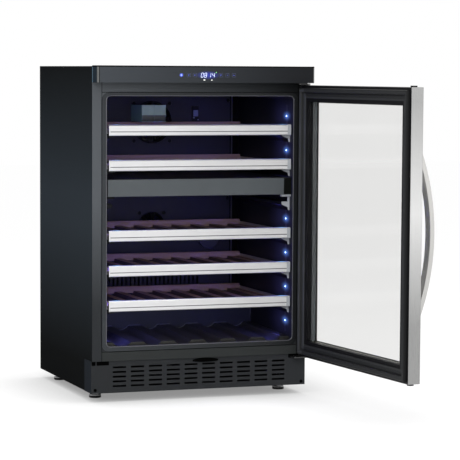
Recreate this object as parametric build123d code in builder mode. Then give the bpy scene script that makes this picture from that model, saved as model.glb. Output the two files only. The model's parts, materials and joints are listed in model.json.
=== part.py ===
"""Undercounter dual-zone wine cooler, millimetres, +Z up.

The origin is on the floor, midway across the cabinet, in the plane of the
cabinet's front frame. +X is to the right of a person facing the door, +Y goes
into the cabinet. The door stands open and the shelves are stowed.
"""
from build123d import *
import math
import os

os.makedirs("parts", exist_ok=True)

# ---------------------------------------------------------------- cabinet
cabinet_width = 595.0
cabinet_depth = 523.0
overall_height = 876.0
foot_gap = 24.5             # floor to the underside of the base tray
sheet = 1.0                 # steel of the wrapper, back, kick plate and tray
clearance = 0.3             # between loosely fitted pieces
face_t = 2.0                # thickness of the front frame
wrapper_drop = 2.0          # wrapper top below the fascia top

side_wall = 39.0            # cabinet's side to the opening
opening_bottom = 146.5
opening_head = 34.8         # opening's upper edge below the fascia
opening_radius = 11.0
liner_t = 2.0
liner_lip = 13.7            # width of the liner's flange beside and below the opening
liner_lip_top = 10.0
lip_seam = 0.5              # shadow gap between the liner flange and the frame
sill_depth = 12.0           # run of the raised sill at the front of the floor
sill_drop = 7.0             # liner floor below the opening's lower edge
rear_wall = 95.0            # cabinet's back to the liner's back wall
hump_run = 108.0            # liner's back wall to the front of the hump over the machine space
hump_rise = 72.5            # liner floor to the hump's top
floor_foam = 35.0
hump_foam = 30.0
pocket_depth = 50.0         # evaporator pockets behind the back wall
pocket_side_inset = 24.0    # pocket's side inside the duct cover's side
pocket_inset = 10.0         # pocket's ends inside the duct cover's ends

# ---------------------------------------------------------------- front
fascia_height = 43.5
fascia_depth = 50.0
fascia_wall = 2.5
fascia_cheek = 3.8          # end walls beside the touch panel
fascia_radius = 3.0
panel_t = 2.0
board_t = 1.6
board_width = 190.0
board_margin = 3.0          # board edge to the fascia's inner walls
display_half = 24.0
display_t = 9.0
relay_x = (40.0, 72.0)
relay_t = 12.0
post_inset = 5.0
post_radius = 3.0
post_length = 2.0
kick_top = 108.8
kick_set_back = 5.0
kick_return = 64.0          # length of the side flanges
slot_columns = 10
slot_rows = 5
slot_length = 36.4
slot_height = 4.8
grille_margin = 57.45       # cabinet's side to the slots
slot_pitch_z = 12.35
slot_low_z = 42.1
slot_corner = 1.6
notch_inset = 13.5          # hinge notch, from the cabinet's side
notch_width = 33.4
notch_height = 11.0
end_notch_width = 10.5
notch_clearance = 1.0
tray_gap = 1.0              # base tray behind the kick plate
vent_slot_length = 30.0
vent_slot_width = 8.0
vent_slot_pitch_x = 22.0
vent_slot_pitch_z = 36.0
vent_slot_columns = 9
vent_slot_rows = 3

# ---------------------------------------------------------------- door
door_open_angle = 95.0      # pose in which the model stands
door_side_gap = 0.5         # door's side inside the cabinet's side
door_drop = 3.8             # door's lower edge below the kick plate's top
door_head_gap = 5.5         # fascia to the door's upper edge
door_gap = 10.0             # cabinet face to the door shell, filled by the seal
door_shell_depth = 34.0
shell_t = 1.2
shell_radius = 3.0
window_stile = 44.0
window_rail_top = 46.0
window_rail_bottom = 44.0
frame_margin = 43.5         # black frame, door edge to its opening
frame_lip = 12.4            # black frame in front of the glass unit
glass_t = 4.0
glass_gap = 12.0
glass_overlap = 9.0         # glass edge hidden behind the black frame
glass_clearance = 0.2
spacer_width = 8.0
seal_margin = 7.0           # door edge to the seal
seal_width = 27.6
seal_bulb = 12.0
seal_fin = 2.5
seal_radius = 2.5
seal_clearance = 0.5        # bulb to cabinet when the door is shut
hinge_inset = 10.4          # hinge axis from the door's side
hinge_set_back = 12.0       # hinge axis behind the shell's inner edge
hinge_plate_t = 3.0
hinge_plate_width = 34.0
hinge_leg_t = 3.0
hinge_leg_height = 28.0
hinge_nose = 9.4            # plate beyond the pin axis, towards the door's side
hinge_toe = 8.0             # plate beyond the pin axis, away from the cabinet
hinge_corner = 6.0
bottom_plate_extra = 8.0    # bottom plate wider than the top one
pin_radius = 4.0
pin_length = 15.0
pin_clearance = 0.08
bush_radius = 7.0
bush_length = 18.0
bush_flange_radius = 9.0
bush_flange_t = 1.0
bush_gap = 0.4              # flange to hinge plate
bush_floor = 3.0            # closed end of the bush
bush_fit = 0.05
plug_cap_t = 3.6
plug_cap_radius = 8.5
handle_rise = 3.0           # handle's middle above the door's middle
handle_inset = 8.0          # door edge to handle
handle_width = 24.0
handle_t = 11.6
handle_reach = 38.7
handle_outer_radius = 565.0

# ---------------------------------------------------------------- interior
top_shelf_drop = 74.9       # opening's upper edge to the top shelf's front
bottom_shelf_rise = 53.3    # hump's top to the lowest shelf's upper edge
shelf_levels = (0, 1, 3, 4, 5)
empty_level = 2
shelf_front_gap = 7.0       # between a shelf's front and the side wall
shelf_front_height = 27.8
shelf_front_y = 0.5
shelf_front_t = 3.0
shelf_lip = 12.0            # top flange over the front board
shelf_lip_t = 1.6
shelf_bevel = 2.4           # sloping upper edge
shelf_foot = 1.5
groove_depth = 0.8
groove_height = 2.0
groove_low = 9.0            # groove above the lower edge
rack_gap = 9.3              # between a rack and the side wall
rack_rear_gap = 30.0
rack_side_width = 12.2
rack_front_drop = 1.0       # front board above the trim's lower edge
rail_board_t = 12.0
rail_board_drop = 1.8       # back board's top below the shelf front's top
slat_count = 9
slat_side_gap = 5.0         # outer slats to the rack's side boards
slat_width = 20.0
slat_t = 12.0
slat_drop = 13.0            # slat top below the back board's top
runner_front = 25.0
runner_rear_gap = 13.0
runner_leg_t = 5.5
runner_arm = 16.8
runner_arm_above = 4.5      # arm's top above the shelf front's lower edge
runner_leg_above = 17.0
runner_leg_below = 19.0
runner_tip_t = 8.0          # arm's height at its tip
runner_root_t = 15.0        # arm's height at the leg
runner_foot_t = 3.5         # leg's thickness at its lower edge
slide_t = 2.5
slide_web = 2.0
slide_web_height = 15.0
divider_gap_above = 22.8    # second shelf's front to the divider
divider_gap_below = 24.4    # divider above the lower edge of the empty level
divider_face_y = 10.0
divider_trim_t = 6.0
divider_side_gap = 6.5      # divider's trim to the side wall
divider_cap_width = 16.0
divider_round = 1.2
ledge_width = 26.0
ledge_t = 6.0
led_count = 7
led_drop = 53.6             # opening's upper edge to the highest light
led_rise = 55.0             # liner floor to the lowest light
led_y = 50.0
led_strip_width = 14.0
led_strip_t = 3.0
led_radius = 2.5
led_proud = 1.0
led_margin = 30.0           # strip beyond the end LEDs
cradle_front = 22.0
cradle_t = 2.5
cradle_margin = 6.5         # side wall to the outermost half ridge
cradle_valleys = 6
cradle_ridge = 35.0
cradle_depth = 12.0
cradle_rise = 8.0           # back edge above the front edge
cradle_wall = 3.0
cover_side_gap = 19.5
cover_t = 2.0
cover_gap_top = 4.7         # upper cover to the ceiling
cover_gap_above = 3.3       # divider to the upper cover
cover_gap_below = 4.4       # lower cover to the divider
cover_gap_hump = 4.0        # hump to the lower cover
vent_count = 23
vent_pitch = 12.4
vent_width = 6.0
vent_rise = 22.0            # vents above the lower cover's lower edge
vent_height = 51.0
return_height = 26.0        # return slots above the upper cover's lower edge
return_pitch = 24.8
return_count = 15
return_length = 18.0
upper_fan_drop = 73.6       # upper cover's top to the fan's axis
upper_fan_size = 120.0
lower_fan_drop = 103.0      # lower cover's top to the fan's axis
lower_fan_size = 80.0
fan_depth = 25.0
fan_rim = 3.0
mouth_rim = 0.5             # cover's mouth to the fan frame's side
fan_corner = 5.0
fan_tip_gap = 3.0
fan_hub_share = 0.17        # hub radius over the frame's width
fan_cup_depth = 5.0
fan_strut = 4.0
fan_shaft_radius = 2.0
fan_shaft_clearance = 0.1
fan_end_gap = 2.0
fan_blades = 7
blade_t = 1.6
blade_root_share = 0.95     # blade's chord at the root over the hub's radius
blade_tip_share = 0.68      # blade's chord at the tip over the tip's radius
blade_root_pitch = 42.0
blade_tip_pitch = 24.0
filter_inset = 47.6         # filter's axis from the pocket's side
filter_drop = 38.3          # below the lower fan's axis
filter_radius = 30.0
filter_proud = 8.0
filter_body_radius = 23.5
filter_body_length = 14.0
filter_round = 2.0
sensor_x = (116.0, 137.0)
sensor_drop = 28.5          # clip's top below the upper cover's top
sensor_height = 41.5
sensor_t = 8.0
sensor_wall = 3.0
sensor_bar = 11.0
sensor_radius = 2.5
sensor_round = 2.0
box_x = (-61.0, 9.3)
box_drop = 24.2             # box's top below the upper cover's top
box_height = 46.3
box_length = 99.0
box_round = 2.0
box_seam = 1.2

# ---------------------------------------------------------------- machine space
foot_inset = 38.0           # foot's axis from the cabinet's side
foot_front_y = 103.0
foot_back_inset = 68.0      # rear foot's axis from the cabinet's back
foot_radius = 16.0
foot_pad_t = 9.0
foot_nut_radius = 11.0
foot_nut_t = 5.0
stem_radius = 5.0
stem_top = 48.0
boss_wall = 4.0
boss_height = 14.0
gusset_width = 56.0         # upright plates behind the bottom hinge
gusset_t = 2.0
foot_round = 2.0
compressor_inset = 166.5    # from the wrapper's inside on the right
compressor_back_inset = 85.0
compressor_half_x = 69.0
compressor_half_y = 60.0
compressor_round = 24.0
compressor_base_half_x = 78.0
compressor_base_half_y = 50.0
compressor_height = 118.0
compressor_foot_t = 4.0
drip_half_x = 40.0
drip_half_y = 32.0
drip_height = 14.0
drip_wall = 2.0
condenser_inset = 52.5      # from the wrapper's inside on the left
condenser_back_gap = 25.0
condenser_width = 90.0
condenser_length = 124.0
condenser_height = 137.5
condenser_rows = 4
condenser_fins = 12
fin_t = 1.5
tube_radius = 4.0
condenser_fan_gap = 16.0    # condenser to its fan
fan_stand_height = 13.5
fan_stand_half = 45.0
pipe_radius = 3.0
pipe_bend = 9.0
pipe_gap = 12.0             # condenser's front to the pipes in front of it
suction_gap = 16.0          # compressor's side to the suction pipe
port_height = 60.5          # pipe ports above the compressor's base
drier_inset = 92.0          # drier's near end from the condenser's right side
drier_length = 52.0
drier_radius = 8.0
riser_gap = 30.0            # drier's far end to the pipe that rises from it
evaporator_t = 18.0
evaporator_fins = 17
evaporator_side_gap = 15.0  # pocket's side to the outermost fin
evaporator_rows = 4
evaporator_inset = 20.0     # fins inside the duct cover's ends
inlet_inset = 81.5          # from the wrapper's inside on the left
inlet_z = 62.0
inlet_width = 48.0
inlet_height = 28.0
inlet_depth = 22.0
inlet_flange = 4.0
inlet_flange_t = 2.0
inlet_socket_width = 24.0
inlet_socket_height = 16.0
inlet_socket_depth = 16.0
inlet_pin_pitch = 7.0
inlet_pin_drop = 2.0
inlet_pin_width = 2.0
inlet_pin_height = 4.0
inlet_pin_length = 10.0

# ---------------------------------------------------------------- derived
half_width = cabinet_width / 2
inner_half = half_width - sheet
wrapper_top = overall_height - wrapper_drop
fascia_bottom = overall_height - fascia_height
opening_half = half_width - side_wall
opening_top = fascia_bottom - opening_head
liner_floor = opening_bottom - sill_drop
back_wall = cabinet_depth - rear_wall
hump_front = back_wall - hump_run
hump_top = liner_floor + hump_rise
lip_half = opening_half + liner_lip
lip_bottom = opening_bottom - liner_lip
lip_top = opening_top + liner_lip_top
machine_ceiling = liner_floor - liner_t - floor_foam
hump_ceiling = hump_top - liner_t - hump_foam
hump_ceiling_front = hump_front + liner_t + hump_foam
cabinet_back = cabinet_depth - sheet
tray_top = foot_gap + sheet
kick_back = kick_set_back + sheet
leg_back = kick_back + hinge_leg_t
pocket_back = back_wall + pocket_depth
cover_front = back_wall - cover_t
cover_half_width = opening_half - cover_side_gap
pocket_half = cover_half_width - pocket_side_inset
top_shelf_z = opening_top - top_shelf_drop
shelf_pitch = (top_shelf_z - hump_top - bottom_shelf_rise) / shelf_levels[-1]
rack_back = back_wall - rack_rear_gap
runner_back = back_wall - runner_rear_gap
compressor_x = inner_half - compressor_inset
compressor_y = cabinet_depth - compressor_back_inset
condenser_x = condenser_inset - inner_half
condenser_y = cabinet_depth - condenser_back_gap - condenser_length
inlet_x = inlet_inset - inner_half
foot_x = half_width - foot_inset
foot_rear_y = cabinet_depth - foot_back_inset
notch_outer = half_width - notch_inset
notch_inner = notch_outer - notch_width
door_half = half_width - door_side_gap
door_bottom = kick_top - door_drop
door_top = fascia_bottom - door_head_gap
door_inner_y = -door_gap
door_outer_y = -door_gap - door_shell_depth
hinge_x = door_half - hinge_inset
hinge_y = door_inner_y - hinge_set_back
hinge_axis = Axis((hinge_x, hinge_y, 0), (0, 0, 1))


def front_edge(level):
    """Height of a shelf front's lower edge, levels counted from the top."""
    return top_shelf_z - level * shelf_pitch - shelf_front_height


divider_top = front_edge(empty_level - 1) - divider_gap_above
divider_bottom = front_edge(empty_level) + divider_gap_below
upper_cover_bottom = divider_top + cover_gap_above
upper_cover_top = opening_top - cover_gap_top
lower_cover_bottom = hump_top + cover_gap_hump
lower_cover_top = divider_bottom - cover_gap_below
upper_fan_z = upper_cover_top - upper_fan_drop
lower_fan_z = lower_cover_top - lower_fan_drop


def block(x0, x1, y0, y1, z0, z1, mode=Mode.ADD):
    """A square-cornered block between two opposite corners."""
    with Locations(((x0 + x1) / 2, (y0 + y1) / 2, (z0 + z1) / 2)):
        Box(x1 - x0, y1 - y0, z1 - z0, mode=mode)


def side_block(side, near, far, y0, y1, z0, z1, mode=Mode.ADD):
    """A block on one side of the cabinet, between two distances from its middle."""
    block(min(side * near, side * far), max(side * near, side * far), y0, y1, z0, z1, mode)


def rounded_block(half, y0, y1, z0, z1, radius, mode=Mode.ADD):
    """A block centred on the cabinet, its four edges along Y rounded."""
    with BuildSketch(Plane.XZ.offset(-y0)) as outline:
        with Locations((0, (z0 + z1) / 2)):
            RectangleRounded(2 * half, z1 - z0, radius)
    extrude(outline.sketch, amount=-(y1 - y0), mode=mode)


def rod(x, y, z, radius, length, direction, mode=Mode.ADD):
    """A cylinder that starts at a point and runs along a direction."""
    with BuildSketch(Plane(origin=(x, y, z), z_dir=direction)) as section:
        Circle(radius)
    extrude(section.sketch, amount=length, mode=mode)


def save(piece, name):
    """Label a finished piece and write its STEP file."""
    piece.label = name
    export_step(piece, f"parts/{name}.step")


def save_door(piece, name):
    """Swing a piece that was drawn with the door shut, then write it."""
    save(piece.rotate(hinge_axis, door_open_angle), name)


# ================================================================ cabinet
with BuildPart() as outer_wrapper:
    block(-half_width, half_width, face_t, cabinet_back, foot_gap, wrapper_top)
    block(-inner_half, inner_half, face_t, cabinet_back, foot_gap, wrapper_top - sheet, Mode.SUBTRACT)
    block(-half_width, half_width, 0, kick_back, foot_gap, kick_top, Mode.SUBTRACT)
save(outer_wrapper.part, "outer_wrapper")

with BuildPart() as back_panel:
    block(-half_width, half_width, cabinet_back, cabinet_depth, foot_gap, wrapper_top)
    block(inlet_x - inlet_width / 2, inlet_x + inlet_width / 2, cabinet_back, cabinet_depth,
          inlet_z - inlet_height / 2, inlet_z + inlet_height / 2, Mode.SUBTRACT)
    with BuildSketch(Plane.XZ.offset(-cabinet_back)):
        with Locations((compressor_x, (tray_top + hump_ceiling) / 2)):
            with GridLocations(vent_slot_pitch_x, vent_slot_pitch_z, vent_slot_columns, vent_slot_rows):
                SlotOverall(vent_slot_length, vent_slot_width, rotation=90)
    extrude(amount=-sheet, mode=Mode.SUBTRACT)
save(back_panel.part, "back_panel")

with BuildPart() as base_tray:
    block(-inner_half, inner_half, kick_back + tray_gap, cabinet_back, foot_gap, tray_top)
    for side in (-1, 1):
        side_block(side, inner_half - gusset_width, inner_half, leg_back, leg_back + gusset_t,
                   tray_top, machine_ceiling)
        for foot_y in (foot_front_y, foot_rear_y):
            rod(side * foot_x, foot_y, tray_top, stem_radius + boss_wall, boss_height, (0, 0, 1))
            rod(side * foot_x, foot_y, foot_gap, stem_radius + clearance, sheet + boss_height, (0, 0, 1),
                Mode.SUBTRACT)
save(base_tray.part, "base_tray")

with BuildPart() as front_frame:
    block(-half_width, half_width, 0, face_t, kick_top, wrapper_top)
    rounded_block(lip_half + lip_seam, 0, face_t, lip_bottom - lip_seam, lip_top + lip_seam,
                  opening_radius + liner_lip, Mode.SUBTRACT)
save(front_frame.part, "front_frame")


def liner_solid(grow):
    """The liner's room, its walls moved out by grow, with the hump at the back of its floor."""
    half = opening_half + grow
    radius = opening_radius + grow
    rounded_block(half, 0, back_wall + grow, opening_bottom - grow, opening_top + grow, radius)
    rounded_block(half, sill_depth - grow, hump_front + grow, liner_floor - grow, opening_top + grow, radius)
    block(-half, half, hump_front + grow, back_wall + grow, liner_floor - grow, hump_top - grow,
          Mode.SUBTRACT)


def liner_pockets(grow):
    """The two evaporator pockets behind the liner's back wall."""
    half = pocket_half + grow
    for low, high in ((upper_cover_bottom, upper_cover_top), (lower_cover_bottom, lower_cover_top)):
        block(-half, half, back_wall, pocket_back + grow,
              low + pocket_inset - grow, high - pocket_inset + grow)


led_top_z = opening_top - led_drop
led_pitch = (led_top_z - liner_floor - led_rise) / (led_count - 1)
strip_bottom = liner_floor + led_rise - led_margin
strip_top = led_top_z + led_margin


def led_grooves(depth, mode):
    """Upright strips let into both side walls."""
    for side in (-1, 1):
        side_block(side, opening_half, opening_half + depth, led_y - led_strip_width / 2,
                   led_y + led_strip_width / 2, strip_bottom, strip_top, mode)


with BuildPart() as liner_room:
    liner_solid(0)
    liner_pockets(0)

with BuildPart() as liner_outside:
    liner_solid(liner_t)
    liner_pockets(liner_t)

with BuildPart() as inner_liner:
    add(liner_outside.part)
    rounded_block(lip_half, 0, liner_t, lip_bottom, lip_top, opening_radius + liner_lip)
    add(liner_room.part, mode=Mode.SUBTRACT)
    led_grooves(liner_t, Mode.SUBTRACT)
save(inner_liner.part, "inner_liner")

with BuildPart() as cabinet_foam:
    block(-inner_half, inner_half, face_t, cabinet_back, machine_ceiling, wrapper_top - sheet)
    block(-inner_half, inner_half, hump_ceiling_front, cabinet_back, machine_ceiling, hump_ceiling,
          Mode.SUBTRACT)
    block(-inner_half, inner_half, face_t, leg_back, machine_ceiling, kick_top, Mode.SUBTRACT)
    add(liner_outside.part, mode=Mode.SUBTRACT)
    led_grooves(led_strip_t + clearance, Mode.SUBTRACT)
save(cabinet_foam.part, "cabinet_foam")

# ================================================================ kick plate
kick_outer = half_width + sheet
with BuildPart() as kick_plate:
    block(-kick_outer, kick_outer, kick_set_back, kick_back, foot_gap, kick_top)
    for side in (-1, 1):
        side_block(side, half_width, kick_outer, kick_set_back, kick_set_back + kick_return,
                   foot_gap, kick_top)
        for near, far in ((notch_inner, notch_outer), (half_width - end_notch_width, half_width)):
            side_block(side, near, far, kick_set_back, kick_back, kick_top - notch_height, kick_top,
                       Mode.SUBTRACT)
    grille_mid_z = slot_low_z + (slot_rows - 1) * slot_pitch_z / 2
    slot_pitch_x = (2 * (half_width - grille_margin) - slot_length) / (slot_columns - 1)
    with BuildSketch(Plane.XZ.offset(-kick_set_back)):
        with Locations((0, grille_mid_z)):
            with GridLocations(slot_pitch_x, slot_pitch_z, slot_columns, slot_rows):
                RectangleRounded(slot_length, slot_height, slot_corner)
    extrude(amount=-sheet, mode=Mode.SUBTRACT)
save(kick_plate.part, "kick_plate")

# ================================================================ fascia
plate_x0 = hinge_x + hinge_nose - hinge_plate_width
plate_x1 = hinge_x + hinge_nose
panel_half = half_width - fascia_cheek
panel_back = -fascia_depth + panel_t
with BuildPart() as fascia_housing:
    block(-half_width, half_width, -fascia_depth, 0, fascia_bottom, overall_height)
    fillet(fascia_housing.edges().filter_by(Axis.Z).group_by(Axis.Y)[0], fascia_radius)
    block(-panel_half, panel_half, -fascia_depth, panel_back, fascia_bottom, overall_height, Mode.SUBTRACT)
    block(-panel_half, panel_half, panel_back + fascia_wall, 0,
          fascia_bottom + fascia_wall, overall_height - fascia_wall, Mode.SUBTRACT)
    block(plate_x0 - clearance, panel_half, -hinge_leg_t - clearance, 0,
          fascia_bottom, fascia_bottom + fascia_wall, Mode.SUBTRACT)
save(fascia_housing.part, "fascia_housing")

with BuildPart() as touch_panel:
    block(-panel_half, panel_half, -fascia_depth, panel_back, fascia_bottom, overall_height)
save(touch_panel.part, "touch_panel")

board_front = panel_back + fascia_wall + post_length
board_back = board_front + board_t
board_low = fascia_bottom + fascia_wall + board_margin
board_high = overall_height - fascia_wall - board_margin
with BuildPart() as control_board:
    block(-board_width / 2, board_width / 2, board_front, board_back, board_low, board_high)
    block(-display_half, display_half, board_back, board_back + display_t,
          board_low + post_inset, board_high - post_inset)
    block(*relay_x, board_back, board_back + relay_t, board_low + post_inset, board_high - post_inset)
    for post_x in (-board_width / 2 + post_inset, board_width / 2 - post_inset):
        for post_z in (board_low + post_inset, board_high - post_inset):
            rod(post_x, board_front, post_z, post_radius, post_length, (0, -1, 0))
save(control_board.part, "control_board")

# ================================================================ hinges
plate_front = hinge_y - hinge_toe
top_plate_z = door_top + bush_flange_t + bush_gap
with BuildPart() as top_hinge_bracket:
    block(plate_x0, plate_x1, plate_front, 0, top_plate_z, top_plate_z + hinge_plate_t)
    fillet(top_hinge_bracket.edges().filter_by(Axis.Z).group_by(Axis.Y)[0], hinge_corner)
    block(plate_x0, panel_half - clearance, -hinge_leg_t, 0, top_plate_z, top_plate_z + hinge_leg_height)
    rod(hinge_x, hinge_y, top_plate_z, pin_radius, pin_length, (0, 0, -1))
save(top_hinge_bracket.part, "top_hinge_bracket")

bottom_plate_z = door_bottom - bush_flange_t - bush_gap
bottom_plate_low = bottom_plate_z - hinge_plate_t
tongue_x0 = notch_inner + notch_clearance
tongue_x1 = notch_outer - notch_clearance
with BuildPart() as bottom_hinge_bracket:
    block(plate_x0 - bottom_plate_extra, plate_x1, plate_front, kick_set_back - clearance,
          bottom_plate_low, bottom_plate_z)
    fillet(bottom_hinge_bracket.edges().filter_by(Axis.Z).group_by(Axis.Y)[0], hinge_corner)
    block(max(tongue_x0, plate_x0 - bottom_plate_extra), tongue_x1, kick_set_back - clearance, leg_back,
          bottom_plate_low, bottom_plate_z)
    block(tongue_x0, tongue_x1, kick_back, leg_back, bottom_plate_z - hinge_leg_height, bottom_plate_z)
    rod(hinge_x, hinge_y, bottom_plate_z, pin_radius, pin_length, (0, 0, 1))
save(bottom_hinge_bracket.part, "bottom_hinge_bracket")

# ================================================================ feet
foot_places = {
    "foot_front_left": (-foot_x, foot_front_y),
    "foot_front_right": (foot_x, foot_front_y),
    "foot_rear_left": (-foot_x, foot_rear_y),
    "foot_rear_right": (foot_x, foot_rear_y),
}
for foot_name, (place_x, place_y) in foot_places.items():
    with BuildPart() as foot:
        rod(place_x, place_y, 0, foot_radius, foot_pad_t, (0, 0, 1))
        fillet(foot.edges().filter_by(GeomType.CIRCLE), foot_round)
        with BuildSketch(Plane.XY.offset(foot_pad_t)):
            with Locations((place_x, place_y)):
                RegularPolygon(foot_nut_radius, 6)
        extrude(amount=foot_nut_t)
        rod(place_x, place_y, foot_pad_t, stem_radius, stem_top - foot_pad_t, (0, 0, 1))
    save(foot.part, foot_name)

# ================================================================ lights and shelf rails
with BuildPart() as led_strips:
    led_grooves(led_strip_t, Mode.ADD)
    for side in (-1, 1):
        for index in range(led_count):
            led_z = led_top_z - index * led_pitch
            if not divider_bottom < led_z < divider_top:
                rod(side * opening_half, led_y, led_z, led_radius, led_proud, (-side, 0, 0))
save(led_strips.part, "led_strips")

rail_leg_x = opening_half - runner_leg_t
rail_arm_x = rail_leg_x - runner_arm
divider_front = divider_face_y + divider_trim_t
with BuildPart() as shelf_rails:
    for level in sorted((*shelf_levels, empty_level)):
        low = front_edge(level)
        arm_top = low + runner_arm_above
        with BuildSketch(Plane.XZ.offset(-runner_front)):
            with BuildLine():
                Polyline((opening_half, low - runner_leg_below), (opening_half, low + runner_leg_above),
                         (rail_leg_x, low + runner_leg_above), (rail_leg_x, arm_top), (rail_arm_x, arm_top),
                         (rail_arm_x, arm_top - runner_tip_t), (rail_leg_x, arm_top - runner_root_t),
                         (opening_half - runner_foot_t, low - runner_leg_below), close=True)
            make_face()
        extrude(amount=-(runner_back - runner_front))
    block(opening_half - ledge_width, opening_half, divider_front, runner_back,
          divider_bottom - ledge_t, divider_bottom)
    mirror(about=Plane.YZ)
save(shelf_rails.part, "shelf_rails")

# ================================================================ zone divider
divider_trim_half = opening_half - divider_side_gap
trim_split = divider_trim_half - divider_cap_width
with BuildPart() as zone_divider:
    block(-opening_half, opening_half, divider_front, back_wall, divider_bottom, divider_top)
    block(trim_split, divider_trim_half, divider_face_y, divider_front, divider_bottom, divider_top)
save(zone_divider.part, "zone_divider")

with BuildPart() as divider_trim:
    block(-divider_trim_half, trim_split, divider_face_y, divider_front, divider_bottom, divider_top)
    fillet(divider_trim.edges().filter_by(Axis.X).group_by(Axis.Y)[0], divider_round)
save(divider_trim.part, "divider_trim")

# ================================================================ bottle cradle
cradle_half = opening_half - clearance
cradle_back = hump_front - clearance
cradle_length = cradle_back - cradle_front
cradle_low = liner_floor + cradle_t
cradle_pitch = 2 * (opening_half - cradle_margin) / cradle_valleys
valley_half = (cradle_pitch - cradle_ridge) / 2
valley_radius = (valley_half**2 + cradle_depth**2) / (2 * cradle_depth)
cradle_slope = math.atan2(cradle_rise, cradle_length)
cradle_along = (0, math.cos(cradle_slope), math.sin(cradle_slope))
cradle_plane = Plane(origin=(0, cradle_front, cradle_low), x_dir=(-1, 0, 0), z_dir=cradle_along)


def cradle_valley_circles(radius, mode):
    """The bottles' circles over the cradle, one for each valley."""
    with Locations((0, valley_radius)):
        with GridLocations(cradle_pitch, 1, cradle_valleys, 1):
            Circle(radius, mode=mode)


with BuildPart() as bottle_cradle:
    with BuildSketch(cradle_plane.offset(-cradle_depth)):
        with Locations((0, 0)):
            Rectangle(2 * cradle_half, 2 * cradle_depth)
        cradle_valley_circles(valley_radius, Mode.SUBTRACT)
    extrude(amount=cradle_length + 3 * cradle_depth)
    rounded_block(cradle_half, cradle_front, cradle_back, liner_floor, opening_top, opening_radius,
                  Mode.INTERSECT)
    with BuildSketch(cradle_plane.offset(cradle_wall)):
        with Locations((0, -cradle_t)):
            Rectangle(2 * (cradle_half - cradle_wall), 2 * cradle_depth)
        cradle_valley_circles(valley_radius + cradle_t, Mode.SUBTRACT)
    extrude(amount=cradle_length - 2 * cradle_wall, mode=Mode.SUBTRACT)
save(bottle_cradle.part, "bottle_cradle")

# ================================================================ duct covers
upper_mouth = upper_fan_size / 2 - mouth_rim
lower_mouth = lower_fan_size / 2 - mouth_rim
filter_x = pocket_half - filter_inset
filter_z = lower_fan_z - filter_drop
with BuildPart() as upper_duct_cover:
    block(-cover_half_width, cover_half_width, cover_front, back_wall, upper_cover_bottom, upper_cover_top)
    rod(0, cover_front, upper_fan_z, upper_mouth, cover_t, (0, 1, 0), Mode.SUBTRACT)
    with BuildSketch(Plane.XZ.offset(-cover_front)):
        with Locations((0, upper_cover_bottom + return_height)):
            with GridLocations(return_pitch, 1, return_count, 1):
                SlotOverall(return_length, vent_width, rotation=90)
    extrude(amount=-cover_t, mode=Mode.SUBTRACT)
save(upper_duct_cover.part, "upper_duct_cover")

with BuildPart() as lower_duct_cover:
    block(-cover_half_width, cover_half_width, cover_front, back_wall, lower_cover_bottom, lower_cover_top)
    rod(0, cover_front, lower_fan_z, lower_mouth, cover_t, (0, 1, 0), Mode.SUBTRACT)
    rod(filter_x, cover_front, filter_z, filter_body_radius + clearance, cover_t, (0, 1, 0), Mode.SUBTRACT)
    with BuildSketch(Plane.XZ.offset(-cover_front)):
        with Locations((0, lower_cover_bottom + vent_rise + vent_height / 2)):
            with GridLocations(vent_pitch, 1, vent_count, 1):
                Rectangle(vent_width, vent_height)
    extrude(amount=-cover_t, mode=Mode.SUBTRACT)
save(lower_duct_cover.part, "lower_duct_cover")


# ================================================================ fans
def fan_frame(size, plane):
    """Square fan frame with a round bore and, at its rear, struts and a motor cup."""
    bore = size / 2 - fan_rim
    with BuildSketch(plane) as outline:
        RectangleRounded(size, size, fan_corner)
        Circle(bore, mode=Mode.SUBTRACT)
    extrude(outline.sketch, amount=fan_depth)
    with BuildSketch(plane.offset(fan_depth - fan_cup_depth)) as spider:
        Circle(size * fan_hub_share)
        with PolarLocations(0, 2, start_angle=45, angular_range=180):
            Rectangle(2 * bore + fan_rim, fan_strut)
        Circle(fan_shaft_radius + fan_shaft_clearance, mode=Mode.SUBTRACT)
    extrude(spider.sketch, amount=fan_cup_depth)


def fan_impeller(size, plane):
    """Hub, shaft and twisted blades that run in a fan frame on the same plane."""
    hub = size * fan_hub_share
    tip = size / 2 - fan_rim - fan_tip_gap
    depth = fan_depth - fan_cup_depth - 2 * fan_end_gap
    middle = plane.offset(fan_end_gap + depth / 2)
    with BuildSketch(plane.offset(fan_end_gap)) as hub_face:
        Circle(hub)
    extrude(hub_face.sketch, amount=depth)
    for blade in range(fan_blades):
        turn = 2 * math.pi * blade / fan_blades
        radial = plane.x_dir * math.cos(turn) + plane.y_dir * math.sin(turn)
        along = plane.z_dir.cross(radial)
        root = Plane(origin=middle.origin + radial * (hub - blade_t), x_dir=along, z_dir=radial)
        with BuildSketch(root) as root_section:
            Rectangle(hub * blade_root_share, blade_t, rotation=blade_root_pitch)
        with BuildSketch(root.offset(tip - hub + blade_t)) as tip_section:
            Rectangle(tip * blade_tip_share, blade_t, rotation=blade_tip_pitch)
        loft([root_section.sketch.face(), tip_section.sketch.face()])
    with BuildSketch(plane) as swept_circle:
        Circle(tip)
    extrude(swept_circle.sketch, amount=fan_depth, mode=Mode.INTERSECT)
    with BuildSketch(plane.offset(fan_end_gap + depth)) as shaft_end:
        Circle(fan_shaft_radius)
    extrude(shaft_end.sketch, amount=fan_end_gap + fan_cup_depth)


upper_fan_plane = Plane(origin=(0, back_wall, upper_fan_z), x_dir=(1, 0, 0), z_dir=(0, 1, 0))
lower_fan_plane = Plane(origin=(0, back_wall, lower_fan_z), x_dir=(1, 0, 0), z_dir=(0, 1, 0))
with BuildPart() as evaporator_fan_frames:
    fan_frame(upper_fan_size, upper_fan_plane)
    fan_frame(lower_fan_size, lower_fan_plane)
save(evaporator_fan_frames.part, "evaporator_fan_frames")

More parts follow.
